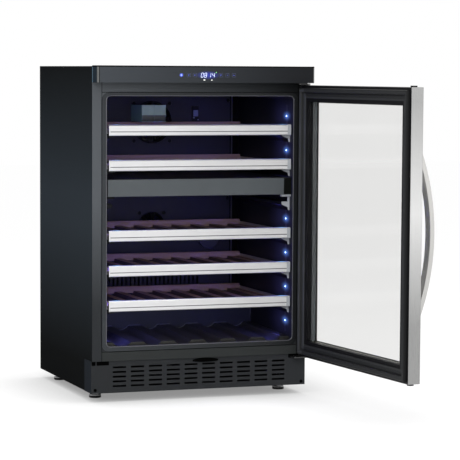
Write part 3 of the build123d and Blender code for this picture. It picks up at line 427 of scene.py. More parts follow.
def fascia_paint(name):
    """Dark housing with pale end strips beside the touch panel and black top."""
    material = finish(name, (0.02, 0.02, 0.02), 0.45, specular=0.0)
    tree, place = opened(material)
    ends = computed(tree, "GREATER_THAN", away(tree, place["X"]), panel_high.x)
    front = mixed(tree, ends, base_colour(tree), (0.14, 0.145, 0.145))
    back_edge = ranged(tree, place["Y"], 0.0, 1.0, -7 * MM, -4 * MM)
    front_edge = ranged(tree, place["Y"], 1.0, 0.0, -45 * MM, -42 * MM)
    flank = mixed(tree, back_edge, (0.024, 0.034, 0.045), (0.11, 0.18, 0.24))
    flank = mixed(tree, front_edge, flank, (0.16, 0.165, 0.165))
    around = mixed(tree, facing(tree, "X"), front, flank)
    crest = computed(tree, "GREATER_THAN", place["Z"], crest_level)
    top = computed(tree, "MAXIMUM", facing(tree, "Z"), crest)
    paint(tree, top, around, (0.003, 0.003, 0.003))
    return material


def side_paint(name):
    """Dark paint of the cabinet's flanks, a little lighter half way up with a soft painted
    highlight.
    """
    material = finish(name, (0.010, 0.011, 0.012), 0.5, depth=0.012 * MM, specular=0.0)
    tree, place = opened(material)
    # Painted highlight: lighter half way up, darker towards top and bottom.
    share = ranged(tree, away(tree, place["Z"], side_highlight_middle), 0.0, 1.0, 0.1 * side_highlight_reach,
                   side_highlight_reach)
    speck = computed(tree, "MULTIPLY", noise(tree, mapped(tree), 1200.0), 0.08)
    paint(tree, computed(tree, "ADD", share, speck),
          (0.036, 0.0445, 0.054), (0.0105, 0.0113, 0.0117))
    return material


def gasket_material(name):
    """Grey rubber seal in painted bands of light and shade: dark outer lip, painted highlight on
    the bulb, painted shade in the groove, ribbed inner band in light and dark stripes, brighter on
    the hinge side.
    """
    low, high = shut_box("door_gasket")
    material = finish(name, (0.04, 0.042, 0.045), 0.45, grain=500.0, tint=0.06, specular=0.12)
    tree = material.node_tree
    coordinates = tree.nodes.new("ShaderNodeTexCoord")
    shut = tree.nodes.new("ShaderNodeMapping")
    shut.inputs["Rotation"].default_value = door_shut.to_euler()
    shut.inputs["Location"].default_value = door_shut.to_translation()
    tree.links.new(coordinates.outputs["Object"], shut.inputs["Vector"])
    place = axes(tree, shut.outputs["Vector"])
    from_side = computed(tree, "SUBTRACT", high.x, away(tree, place["X"]))
    height = away(tree, place["Z"], (low.z + high.z) / 2)
    from_end = computed(tree, "SUBTRACT", (high.z - low.z) / 2, height)
    inset = computed(tree, "MINIMUM", from_side, from_end)
    ramp = tree.nodes.new("ShaderNodeValToRGB")
    # Painted highlight and shade across the seal, from its outer edge inwards.
    stops = ((0.0, 0.008), (0.10, 0.014), (0.17, 0.024), (0.36, 0.022), (0.42, 0.013),
             (0.52, 0.013), (0.58, 0.019), (0.72, 0.022), (0.76, 0.014), (0.80, 0.028),
             (0.94, 0.032), (1.0, 0.010))
    elements = ramp.color_ramp.elements
    while len(elements) < len(stops):
        elements.new(0.5)
    for element, (position, tone) in zip(elements, stops):
        element.position = position
        element.color = (tone, tone * 1.05, tone * 1.09, 1)
    tree.links.new(ranged(tree, inset, 0.0, 1.0, 0.0, 27.6 * MM), ramp.inputs["Fac"])
    # Painted highlight: the seal is brighter on the hinge side.
    hinge_side_highlight = ranged(tree, place["X"], 1.0, 2.3, high.x - 30 * MM, high.x - 26 * MM)
    feed(tree, vector_computed(tree, "SCALE", ramp.outputs["Color"], hinge_side_highlight), "Base Color")
    return material


def box_material(name):
    """Glossy grey-green housing with a painted highlight on the upper part of its front above a
    darker lower part, a painted highlight along its bottom edge, and a darker tone on its flanks.
    """
    low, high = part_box("humidity_box")
    material = finish(name, (0.1, 0.14, 0.12), 0.18, coat=0.3, rough_spread=0.03)
    tree, place = opened(material)
    # seam: where the painted highlight on the front ends, 40% of the way up.
    seam = low.z + 0.40 * (high.z - low.z)
    upper = ranged(tree, place["Z"], 0.0, 1.0, seam - 0.3 * MM, seam + 0.3 * MM)
    cloud = computed(tree, "MULTIPLY", noise(tree, mapped(tree), 60.0), 0.25)
    share = computed(tree, "SUBTRACT", upper, cloud)
    front = mixed(tree, share, (0.012, 0.021, 0.022), (0.33, 0.52, 0.27))
    # Painted highlight along the bottom edge.
    rim = ranged(tree, place["Z"], 1.0, 0.0, low.z + 1.0 * MM, low.z + 1.6 * MM)
    front = mixed(tree, rim, front, (0.30, 0.40, 0.36))
    paint(tree, facing(tree, "X"), front, (0.21, 0.40, 0.22))
    return material


def spacer_material(name):
    """Anodised spacer between the panes: dark upright sides, olive sealed bottom and top."""
    material = finish(name, (0.05, 0.05, 0.05), 0.45, grain=400.0, specular=0.3)
    tree = material.node_tree
    streak = computed(tree, "MULTIPLY", noise(tree, mapped(tree, (1.0, 1.0, 40.0)), 30.0), 0.15)
    share = computed(tree, "SUBTRACT", facing(tree, "Z"), streak)
    paint(tree, share, (0.085, 0.092, 0.096), (0.10, 0.10, 0.080))
    return material


def lip_material(name):
    """Painted glow on top of a shelf front, standing in for the strips' light, brightest close to
    its ends.
    """
    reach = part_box("shelf_1_front")[1].x
    material = finish(name, (0.14, 0.15, 0.26), 0.4, specular=0.4)
    tree, place = opened(material)
    across = away(tree, place["X"])
    wide = computed(tree, "POWER", ranged(tree, across, 0.0, 1.0, 0.0, reach), 2.5)
    spot = ranged(tree, away(tree, across, reach - 22 * MM), 1.0, 0.0, 0.0, 14 * MM)
    glow = vector_computed(tree, "ADD", mixed(tree, wide, (0.005, 0.006, 0.03), (0.05, 0.07, 0.36)),
                           mixed(tree, spot, (0.0, 0.0, 0.0), (0.12, 0.45, 0.75)))
    feed(tree, glow, "Emission Color")
    set_shader(tree, Emission_Strength=1.0)
    return material


def touch_panel_material(name):
    """Smoked glossy panel with painted light falling off from left to right, and a blue glow that
    fades away from the display.
    """
    glow_reach = (34 * MM, 40 * MM, 11 * MM)
    material, tree = new_material(name)
    haze = noise(tree, mapped(tree), 900.0)
    place = axes(tree, mapped(tree))
    shift = vector_computed(tree, "SUBTRACT", mapped(tree), display_centre)
    distance = vector_computed(tree, "LENGTH", vector_computed(tree, "DIVIDE", shift, glow_reach))
    glow = ranged(tree, distance, 1.0, 0.0, 0.1, 1.0)
    # Painted light: the panel's tone falls off from left to right.
    share = computed(tree, "ADD", ranged(tree, place["X"], 0.0, 1.0, -half_width, half_width),
                     computed(tree, "MULTIPLY", haze, 0.1))
    tone = mixed(tree, share, (0.056, 0.063, 0.072), (0.010, 0.011, 0.013))
    end = computed(tree, "GREATER_THAN", away(tree, place["X"]), panel_high.x - 1.8 * MM)
    crest = computed(tree, "GREATER_THAN", place["Z"], crest_level)
    paint(tree, computed(tree, "MAXIMUM", end, crest), tone, (0.003, 0.003, 0.003))
    paint(tree, glow, (0.0, 0.0, 0.0), (0.04, 0.08, 1.1), "Emission Color")
    feed(tree, ranged(tree, haze, 0.30, 0.36), "Roughness")
    set_shader(tree, Specular_IOR_Level=0.1, Emission_Strength=0.35)
    return material


# ------------ materials of the pieces
black_plastic = finish("black_plastic", (0.010, 0.010, 0.011), 0.42, grain=1200.0,
                       specular=0.15)
frame_black = finish("frame_black", (0.007, 0.007, 0.008), 0.5, grain=1200.0, specular=0.08)
gloss_black = finish("gloss_black", (0.008, 0.008, 0.010), 0.12, coat=0.6, rough_spread=0.02)
enamel = finish("black_enamel", (0.010, 0.010, 0.011), 0.25, coat=0.4)
seam_black = finish("seam_black", (0.002, 0.002, 0.002), 0.6, specular=0.0)
gap_dark = finish("gap_dark", (0.006, 0.0065, 0.006), 0.5, specular=0.0)
fin_dark = finish("fin_dark", (0.016, 0.017, 0.020), 0.5, specular=0.1)
duct_paint = finish("duct_paint", (0.018, 0.018, 0.030), 0.45, specular=0.3)
edge_grey = finish("edge_grey", (0.05, 0.052, 0.075), 0.4)
light_grey = finish("light_grey", (0.42, 0.44, 0.47), 0.48)
sensor_grey = finish("sensor_grey", (0.16, 0.19, 0.28), 0.35)
groove_shade_grey = finish("groove_shade_grey", (0.11, 0.115, 0.12), 0.5, specular=0.2)
bead_grey = finish("bead_grey", (0.07, 0.072, 0.085), 0.22, specular=0.6, coat=0.3)
crest_highlight_grey = finish("crest_highlight_grey", (0.22, 0.23, 0.26), 0.4)
painted_lip_glow = lip_material("painted_lip_glow")
zinc = finish("zinc", (0.52, 0.52, 0.53), 0.25, metallic=0.6, tint=0.08)
aluminium = brushed("aluminium", (0.78, 0.78, 0.79), 0.36, "X")
glass = glass_pane("float_glass")
digit_glow = glowing("digit_glow", (0.72, 0.80, 1.0), 1.25)
lamp_glow = glowing("lamp_glow", (0.85, 0.85, 0.80), 0.7)
icon_glow = glowing("icon_glow", (0.07, 0.11, 0.62), 0.8)
icon_dim = glowing("icon_dim", (0.05, 0.06, 0.14), 0.7)
icon_bright = glowing("icon_bright", (0.40, 0.50, 1.0), 1.1)
green_glow = glowing("green_glow", (0.25, 0.9, 0.2), 0.45)

node_materials = {
    "outer_wrapper": side_paint("charcoal_side"),
    "back_panel": finish("galvanised", (0.45, 0.46, 0.47), 0.42, metallic=0.8, grain=60.0,
                         tint=0.2, depth=0.01 * MM),
    # The tray is darkened near black without gloss: painted shade behind the plinth's slots.
    "base_tray": finish("tray_metal", (0.012, 0.012, 0.013), 0.6, grain=60.0, tint=0.2,
                        specular=0.0),
    "cabinet_foam": finish("foam_grey", (0.035, 0.035, 0.037), 0.85, grain=350.0,
                           depth=0.3 * MM, tint=0.2),
    "inner_liner": liner_material("liner_plastic"),
    "front_frame": frame_paint("charcoal_paint"),
    "kick_plate": painted_light_across("kick_paint", (0.031, 0.033, 0.035), (0.034, 0.036, 0.039)),
    "fascia_housing": fascia_paint("fascia_black"),
    "touch_panel": touch_panel_material("touch_panel_gloss"),
    "control_board": finish("board_green", (0.02, 0.12, 0.06), 0.4),
    "zone_divider": finish("divider_plastic", (0.016, 0.017, 0.022), 0.42, grain=700.0),
    "divider_trim": finish("mid_grey", (0.070, 0.080, 0.088), 0.45, specular=0.4),
    "led_strips": led_strip_material("led_strip", wall_x - 0.7 * MM),
    "bottle_cradle": finish("cradle_grey", (0.019, 0.019, 0.018), 0.38, specular=0.4),
    "charcoal_filter": finish("filter_grey", (0.035, 0.035, 0.05), 0.45, specular=0.3),
    "humidity_box": box_material("smoked_plastic"),
    "shelf_rails": rail_material("rail_plastic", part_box("shelf_rails")[0].y + 11 * MM),
    "refrigerant_lines": finish("copper", (0.62, 0.32, 0.19), 0.32, metallic=1.0, tint=0.15),
    "door_frame": door_steel("stainless"),
    "glass_spacer": spacer_material("spacer_metal"),
    "door_gasket": gasket_material("rubber_grey"),
    "door_handle": brushed("handle_steel", (0.52, 0.515, 0.50), 0.32, "Z"),
}
shared_materials = {
    black_plastic: ("sensor_clip", "condenser_fan_frame", "drip_tray", "power_inlet",
                    "hinge_bushes", *foot_names),
    frame_black: ("evaporator_fan_frames", "compressor", "door_inner_frame"),
    gloss_black: ("upper_fan_impeller", "lower_fan_impeller", "condenser_fan_impeller"),
    enamel: ("top_hinge_bracket", "bottom_hinge_bracket"),
    fin_dark: ("evaporators", "condenser"),
    duct_paint: ("upper_duct_cover", "lower_duct_cover"),
    glass: ("door_glass_outer", "door_glass_inner"),
    aluminium: [f"{shelf}_front" for shelf in shelves],
    wood("beech", (0.34, 0.22, 0.17), (0.24, 0.145, 0.11)):
        [f"{shelf}_rack" for shelf in shelves],
    finish("slide_metal", (0.55, 0.56, 0.58), 0.38, metallic=0.9):
        [f"{shelf}_slides" for shelf in shelves],
}
for material, node_names in shared_materials.items():
    for node_name in node_names:
        node_materials[node_name] = material
for node_name, node in nodes.items():
    node.data.materials.clear()
    node.data.materials.append(node_materials[node_name])


# ------------ mesh helpers
def add_piece(name, mesh_data, material, body):
    """Turn a bmesh into an object that rides on a body of the model."""
    mesh = bpy.data.meshes.new(name)
    mesh_data.to_mesh(mesh)
    mesh_data.free()
    mesh.materials.append(material)
    piece = bpy.data.objects.new(name, mesh)
    bpy.context.scene.collection.objects.link(piece)
    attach(piece, body)


def add_slab(mesh_data, low, high, radius=0.0):
    """A block between two corners, its edges rounded."""
    made = bmesh.ops.create_cube(mesh_data, size=1.0)
    middle = (Vector(low) + Vector(high)) / 2
    size = Vector(high) - Vector(low)
    for vertex in made["verts"]:
        vertex.co = Vector(vertex.co[i] * size[i] for i in range(3)) + middle
    if radius:
        edges = {edge for vertex in made["verts"] for edge in vertex.link_edges}
        bmesh.ops.bevel(mesh_data, geom=list(edges), offset=radius, segments=2, affect="EDGES",
                        profile=0.5)


def moved(point, x, y, z):
    """A point moved by some mm."""
    return point[0] + x * MM, point[1] + y * MM, point[2] + z * MM


def add_side_slab(mesh_data, near, far, low, high, radius=0.0):
    """A block between two places across the cabinet, in any order, and two corners (y, z)."""
    add_slab(mesh_data, (min(near, far), *low), (max(near, far), *high), radius)


def add_prism(mesh_data, outline, start, end, axis):
    """A closed outline in the plane across an axis, drawn out from start to end."""
    rings = []
    for position in (start, end):
        ring = []
        for first, second in outline:
            place = {"X": (position, first, second), "Y": (first, position, second),
                     "Z": (first, second, position)}[axis]
            ring.append(mesh_data.verts.new(place))
        rings.append(ring)
    faces = [mesh_data.faces.new(rings[0]), mesh_data.faces.new(list(reversed(rings[1])))]
    for index in range(len(outline)):
        after = (index + 1) % len(outline)
        faces.append(mesh_data.faces.new((rings[0][index], rings[1][index], rings[1][after],
                                          rings[0][after])))
    bmesh.ops.recalc_face_normals(mesh_data, faces=faces)


def join_rings(mesh_data, pairs):
    """Smooth quads between rings of points, pair by pair."""
    faces = []
    for first, second in pairs:
        for step in range(len(first)):
            beside = (step + 1) % len(first)
            face = mesh_data.faces.new((first[step], first[beside], second[beside],
                                        second[step]))
            face.smooth = True
            faces.append(face)
    return faces


def add_lathe(mesh_data, centre, axis, profile, steps=24):
    """A profile of (radius, height) points turned about an axis."""
    turn = Vector((0, 0, 1)).rotation_difference(Vector(axis)).to_matrix()
    rings = []
    for radius, height in profile:
        ring = []
        for step in range(steps):
            angle = 2 * math.pi * step / steps
            local = Vector((radius * math.cos(angle), radius * math.sin(angle), height))
            ring.append(mesh_data.verts.new(Vector(centre) + turn @ local))
        rings.append(ring)
    faces = [mesh_data.faces.new(list(reversed(rings[0]))), mesh_data.faces.new(rings[-1])]
    faces += join_rings(mesh_data, zip(rings, rings[1:]))
    bmesh.ops.recalc_face_normals(mesh_data, faces=faces)


def add_screw(mesh_data, x, y, z, radius, height):
    """A pan-head screw with a recess, its head towards the front."""
    add_lathe(mesh_data, (x, y, z), (0, -1, 0), [
        (radius, 0.0), (radius, 0.35 * height), (0.86 * radius, 0.78 * height),
        (0.55 * radius, height), (0.40 * radius, height), (0.30 * radius, 0.45 * height)])


def add_tube(mesh_data, points, radius, closed):
    """A round tube through points that lie in one upright plane across the cabinet."""
    sides = 8
    count = len(points)
    rings = []
    for index, point in enumerate(points):
        before = points[index - 1] if closed or index else point
        after = points[(index + 1) % count] if closed or index < count - 1 else point
        along = (Vector(after) - Vector(before)).normalized()
        across = along.cross(Vector((0, 1, 0))).normalized()
        ring = []
        for step in range(sides):
            angle = 2 * math.pi * (step + 0.5) / sides
            offset = (across * (radius * math.cos(angle))
                      + Vector((0, radius * math.sin(angle), 0)))
            ring.append(mesh_data.verts.new(Vector(point) + offset))
        rings.append(ring)
    faces = join_rings(mesh_data, [*zip(rings, rings[1:]), *([(rings[-1], rings[0])] * closed)])
    if not closed:
        faces.append(mesh_data.faces.new(list(reversed(rings[0]))))
        faces.append(mesh_data.faces.new(rings[-1]))
    bmesh.ops.recalc_face_normals(mesh_data, faces=faces)


# ------------ touch panel
sign_front = panel_low.y - 0.15 * MM
sign_back = panel_low.y + 0.2 * MM
segment_length = 5.6 * MM
segment_width = 0.8 * MM
segment_slant = 0.14
SEGMENTS = {0: "abcdef", 1: "bc", 4: "bcfg", 8: "abcdefg"}
DIGITS = ((0, -15.8), (8, -6.6), (1, 4.6), (4, 15.0))  # what is shown, and where across in mm
POWER_FIELD = -72.9
BAR_FIELDS = (-52.7, 35.2)  # fields across in mm
DASH_FIELDS = (-36.1, 71.1)
DOT_FIELD = 53.2


def add_bar(mesh_data, x, z, length, width, upright):
    """One segment of a digit: a bar with pointed ends."""
    half, tip = length / 2, width / 2
    points = [(-half, 0), (-half + tip, tip), (half - tip, tip), (half, 0), (half - tip, -tip),
              (-half + tip, -tip)]
    if upright:
        points = [(-second, first) for first, second in points]
    outline = [(x + first + segment_slant * (z + second - display_centre.z), z + second)
               for first, second in points]
    add_prism(mesh_data, outline, sign_front, sign_back, "Y")


def add_digit(mesh_data, value, x, z):
    """A seven-segment digit centred at x, z."""
    half = segment_length / 2
    places = {"a": (0, 2 * half, False), "b": (half, half, True), "c": (half, -half, True),
              "d": (0, -2 * half, False), "e": (-half, -half, True), "f": (-half, half, True),
              "g": (0, 0, False)}
    for segment in SEGMENTS[value]:
        shift_x, shift_z, upright = places[segment]
        add_bar(mesh_data, x + shift_x, z + shift_z, segment_length * 0.94, segment_width,
                upright)


def add_dot(mesh_data, x, z, radius, top_radius, height, steps):
    """A round lamp on the panel, its sizes in mm."""
    add_lathe(mesh_data, (x * MM, sign_back, z), (0, -1, 0),
              [(radius * MM, 0.0), (top_radius * MM, height * MM)], steps)


def add_square_ring(mesh_data, x, z, half, width, corner):
    """A rounded square outline: four bars and four corner arcs."""
    straight = half - corner
    inner = half - width
    for sign in (-1, 1):
        for outline in (
                [(x - straight, z + sign * half), (x + straight, z + sign * half),
                 (x + straight, z + sign * inner), (x - straight, z + sign * inner)],
                [(x + sign * half, z - straight), (x + sign * half, z + straight),
                 (x + sign * inner, z + straight), (x + sign * inner, z - straight)]):
            add_prism(mesh_data, outline, sign_front, sign_back, "Y")
    for turn in range(4):
        centre_x = x + straight * (1 if turn in (0, 3) else -1)
        centre_z = z + straight * (1 if turn in (0, 1) else -1)
        angles = [turn * math.pi / 2 + step * math.pi / 8 for step in range(5)]
        arcs = [[(centre_x + radius * math.cos(a), centre_z + radius * math.sin(a)) for a in order]
                for radius, order in ((corner, angles), (corner - width, reversed(angles)))]
        add_prism(mesh_data, arcs[0] + arcs[1], sign_front, sign_back, "Y")


def build_touch_signs():
    """Digits, touch fields and small lamps of the control panel."""
    z = display_centre.z
    digits, fields, marks, power, lamps, ready = (bmesh.new() for _ in range(6))
    for value, x in DIGITS:
        add_digit(digits, value, x * MM, z)
    for x in sorted((POWER_FIELD, *BAR_FIELDS, *DASH_FIELDS, DOT_FIELD)):
        add_square_ring(fields, x * MM, z, 5.0 * MM, 0.4 * MM, 1.6 * MM)
    for x in BAR_FIELDS:
        add_bar(marks, x * MM, z, 5.0 * MM, 0.9 * MM, True)
    for x in DASH_FIELDS:
        add_bar(marks, x * MM, z, 3.6 * MM, 1.1 * MM, False)
    add_bar(marks, DOT_FIELD * MM, z, 2.4 * MM, 1.2 * MM, False)
    add_dot(marks, POWER_FIELD, z, 4.2, 4.0, 0.35, 20)
    add_dot(power, POWER_FIELD, z, 1.5, 1.3, 0.5, 16)
    add_slab(lamps, (-12.4 * MM, sign_front, z - 13.6 * MM), (-7.8 * MM, sign_back, z - 11.2 * MM))
    add_dot(lamps, 10.5, z - 12.6 * MM, 1.7, 1.6, 0.4, 12)
    add_dot(ready, 22.5, z + 7.0 * MM, 1.3, 1.2, 0.4, 12)
    for name, signs, material in (
            ("display_digits", digits, digit_glow), ("touch_fields", fields, icon_dim),
            ("touch_marks", marks, icon_glow), ("power_field", power, icon_bright),
            ("zone_lamps", lamps, lamp_glow), ("ready_lamp", ready, green_glow)):
        add_piece(name, signs, material, "cabinet")


# ------------ front of the cabinet
def build_liner_seam():
    """Dark seam between the front frame and the liner's flange."""
    low, high = liner_low, liner_high
    wide = 1.4 * MM
    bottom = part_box("front_frame")[0].z
    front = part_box("front_frame")[0].y - 0.12 * MM
    seam = bmesh.new()
    for x0, x1, z0, z1 in (
            (low.x, high.x, high.z - wide, high.z), (low.x, high.x, low.z, low.z + wide),
            (low.x, low.x + wide, low.z + wide, high.z - wide),
            (high.x - wide, high.x, low.z + wide, high.z - wide),
            (low.x, low.x + wide, bottom, low.z), (low.x, low.x + wide, high.z, fascia_low.z),
            (high.x - wide, high.x, bottom, low.z), (high.x - wide, high.x, high.z, fascia_low.z)):
        add_slab(seam, (x0, front, z0), (x1, front + 0.6 * MM, z1))
    add_piece("liner_seam", seam, seam_black, "cabinet")


def build_opening_bead():
    """Rounded edge of the liner round the opening, and the upright edges of the hump."""
    half = wall_x + 0.7 * MM
    low_z = liner_low.z + (liner_high.x - wall_x) - 0.7 * MM
    high_z = liner_high.z - 9.3 * MM
    corner = 11.7 * MM
    points = []
    for turn, (side, centre_z) in enumerate(((1, high_z - corner), (-1, high_z - corner),
                                             (-1, low_z + corner), (1, low_z + corner))):
        centre_x = side * (half - corner)
        for step in range(9):
            angle = (turn + step / 8) * math.pi / 2
            points.append((centre_x + corner * math.cos(angle), 0.3 * MM,
                           centre_z + corner * math.sin(angle)))
    bead = bmesh.new()
    add_tube(bead, points, 1.3 * MM, True)
    add_piece("opening_bead", bead, bead_grey, "cabinet")
    hump_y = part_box("bottle_cradle")[1].y - 0.8 * MM
    edges = bmesh.new()
    for side in (-1, 1):
        x = side * (wall_x - 1.0 * MM)
        add_tube(edges, [(x, hump_y, low_z + 16 * MM), (x, hump_y, low_z + 64 * MM)], 1.0 * MM,
                 False)
    add_piece("hump_edges", edges, bead_grey, "cabinet")


def build_kick_trim():
    """The plinth's corner screws, the dark tab and dark plates behind its upper notches that paint
    the shade there.
    """
    screws, tab, notch_shade_plates = (bmesh.new() for _ in range(3))
    for side in (-1, 1):
        add_screw(screws, side * 288 * MM, kick_low.y, 33 * MM, 4.2 * MM, 2.0 * MM)
        # Painted shade: a dark plate behind each upper notch.
        add_side_slab(notch_shade_plates, side * 244 * MM, side * 296.2 * MM,
                      (kick_low.y + 0.35 * MM, kick_high.z - 11.5 * MM),
                      (kick_low.y + 0.8 * MM, kick_high.z - 0.5 * MM))
    shares = [step / 10 for step in range(11)]
    upper = [((-20 + 70 * share) * MM,
              kick_high.z + (1.5 - 4.5 * (2 * share - 1) ** 2) * MM - 2.5 * MM)
             for share in shares]
    lower = [((-20 + 70 * share) * MM, kick_high.z - (12.0 - 2.5 * (2 * share - 1) ** 2) * MM)
             for share in reversed(shares)]
    add_prism(tab, upper + lower, kick_low.y - 3.5 * MM, kick_low.y, "Y")
    for name, trim in (("kick_screws", screws), ("kick_tab", tab), ("notch_shade_backing", notch_shade_plates)):
        add_piece(name, trim, seam_black, "cabinet")


def build_foot_nuts():
    """Bright lock nut, stem and collar of each foot; the collar on the pad's rim also stands in for
    the highlight on the pad's top edge.
    """
    for foot_name in foot_names:
        low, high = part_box(foot_name)
        centre = ((low.x + high.x) / 2, (low.y + high.y) / 2)
        nut = bmesh.new()
        outline = [(centre[0] + 11.3 * MM * math.cos(math.pi * step / 3),
                    centre[1] + 11.3 * MM * math.sin(math.pi * step / 3)) for step in range(6)]
        add_prism(nut, outline, 9.1 * MM, 16.5 * MM, "Z")
        add_lathe(nut, (*centre, 16.3 * MM), (0, 0, 1), [(5.2 * MM, 0.0), (5.2 * MM, 9.0 * MM)])
        # The collar also stands in for the highlight on the pad's top edge.
        add_lathe(nut, (*centre, 6.6 * MM), (0, 0, 1), [
            (16.3 * MM, 0.0), (16.2 * MM, 1.8 * MM), (14.8 * MM, 2.9 * MM),
            (11.0 * MM, 3.2 * MM)], 32)
        add_piece(f"{foot_name}_nut", nut, zinc, foot_name)


# ------------ inside of the cabinet
def build_duct_trim():
    """Screws of the duct covers and fans, folded edges, and dark slabs that paint the shade in the
    gap beside each cover and a shade line on its front.
    """
    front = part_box("upper_duct_cover")[0].y
    screws = bmesh.new()
    for node_name, from_top, from_bottom in (("upper_duct_cover", 12.1, 14.0),
                                             ("lower_duct_cover", 28.8, 12.0)):
        low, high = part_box(node_name)
        edges, gap_shade = bmesh.new(), bmesh.new()
        for side in (-1, 1):
            for z in (high.z - from_top * MM, low.z + from_bottom * MM):
                add_screw(screws, side * 226.0 * MM, front, z, 5.5 * MM, 2.6 * MM)
            outer = side * high.x
            add_side_slab(edges, outer, outer - side * 2.4 * MM, (low.y - 3.0 * MM, low.z),
                          (low.y + 0.2 * MM, high.z), 0.5 * MM)
            # Painted shade: a dark slab in the gap beside the cover, and a dark line on its front.
            add_side_slab(gap_shade, side * (high.x + 0.6 * MM), side * (wall_x - 0.6 * MM),
                          (low.y + 0.9 * MM, low.z), (high.y - 0.1 * MM, high.z))
            add_side_slab(gap_shade, side * (high.x - 7.0 * MM), side * (high.x - 4.5 * MM),
                          (low.y - 0.15 * MM, low.z), (low.y + 0.2 * MM, high.z))
        add_piece(f"{node_name}_edges", edges, edge_grey, "cabinet")
        add_piece(f"{node_name}_gaps", gap_shade, gap_dark, "cabinet")
    for node_name, spread in (("upper_fan_impeller", 52.5), ("lower_fan_impeller", 35.75)):
        low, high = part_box(node_name)
        middle = (low.z + high.z) / 2
        for side in (-1, 1):
            for lift in (-1, 1):
                add_screw(screws, side * spread * MM, front, middle + lift * spread * MM,
                          5.5 * MM, 3.0 * MM)
    add_piece("duct_screws", screws, black_plastic, "cabinet")


def build_cradle_line():
    """Painted highlight: a light line along the edge where the floor rack's ridges meet the hump.
    """
    low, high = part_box("bottle_cradle")
    rack = nodes["bottle_cradle"]
    heights = {}
    for vertex in rack.data.vertices:
        place = rack.matrix_world @ vertex.co
        if high.y - place.y < 0.3 * MM and place.z > low.z + 2 * MM:
            key = round(place.x / MM)
            heights[key] = max(heights.get(key, 0.0), place.z)
    points = [(key * MM, high.y - 1.0 * MM, z + 0.2 * MM) for key, z in sorted(heights.items())]
    line = bmesh.new()
    add_tube(line, points, 0.7 * MM, False)
    add_piece("cradle_highlight_line", line, crest_highlight_grey, "cabinet")


def build_shelf_trim():
    """Each shelf front's groove with painted shade, the lip with painted glow, end caps and the
    stop under its left end, which also stands in for the shade on the left rail's end.
    """
    for body in shelves:
        low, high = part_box(f"{body}_front")
        groove, lip, stop = (bmesh.new() for _ in range(3))
        # A grey strip in the groove: painted shade.
        add_slab(groove, moved(low, 3, 0.3, 8.7), moved((high.x, low.y, low.z), -9, 1.1, 11.3),
                 0.2 * MM)
        add_piece(f"{body}_groove", groove, groove_shade_grey, body)
        # A thin slab on top of the front that carries the painted glow.
        add_slab(lip, moved((low.x, low.y, high.z), 3.5, 2.6, -0.4),
                 moved(high, -3.5, -0.5, 0.35), 0.15 * MM)
        add_piece(f"{body}_lip", lip, painted_lip_glow, body)
        # The black stop also stands in for the shade on the left rail's end.
        add_slab(stop, moved(low, 2, 3.5, -4.5), moved(low, 15, 16, 0.8), 1.0 * MM)
        add_piece(f"{body}_stop", stop, black_plastic, body)
        front = low.y - 0.5 * MM
        back = low.y + 3.2 * MM
        outline = [(front + 1.5 * MM, low.z - 0.3 * MM), (back, low.z - 0.3 * MM),
                   (back, high.z + 0.3 * MM), (front + 2.4 * MM, high.z + 0.3 * MM),
                   (front, high.z - 2.2 * MM), (front, low.z + 1.2 * MM)]
        for name, side, width, material in (("left", -1, 3.0, aluminium),
                                            ("right", 1, 9.0, light_grey)):
            cap = bmesh.new()
            ends = (side * (high.x + 0.4 * MM), side * (high.x - width * MM))
            add_prism(cap, outline, min(ends), max(ends), "X")
            add_piece(f"{body}_cap_{name}", cap, material, body)


def build_inner_trim():
    """Black end of the divider's front strip, and the pale probe in its dark clip."""
    low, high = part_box("divider_trim")
    cap, body = bmesh.new(), bmesh.new()
    add_slab(cap, (high.x + 0.2 * MM, low.y - 0.2 * MM, low.z),
             (wall_x - 0.4 * MM, low.y + 5.5 * MM, high.z), 0.8 * MM)
    add_piece("divider_cap", cap, gap_dark, "cabinet")
    low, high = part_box("sensor_clip")
    right = (high.x, low.y, low.z)
    add_slab(body, moved(low, 4.5, -1.5, 12.5), moved((high.x, low.y, high.z), -3.0, 2.5, -11.5),
             0.9 * MM)
    add_slab(body, moved(low, 3.0, -2.5, 7.0), moved(low, 7.5, 0.5, 11.0), 0.8 * MM)
    add_slab(body, moved(right, -5.0, -0.8, 1.5), moved(right, -1.5, 0.5, 5.0), 0.6 * MM)
    add_piece("sensor_body", body, sensor_grey, "cabinet")


build_touch_signs()
build_liner_seam()
build_opening_bead()
build_kick_trim()
build_foot_nuts()
build_duct_trim()
build_cradle_line()
build_shelf_trim()
build_inner_trim()


# ------------ studio
def seen_rays(tree):
    """1 for rays from the camera, off a gloss or through glass, else 0."""
    path = tree.nodes.new("ShaderNodeLightPath")
    seen = computed(tree, "MAXIMUM", path.outputs["Is Camera Ray"], path.outputs["Is Glossy Ray"])
    return computed(tree, "MAXIMUM", seen, path.outputs["Is Transmission Ray"])


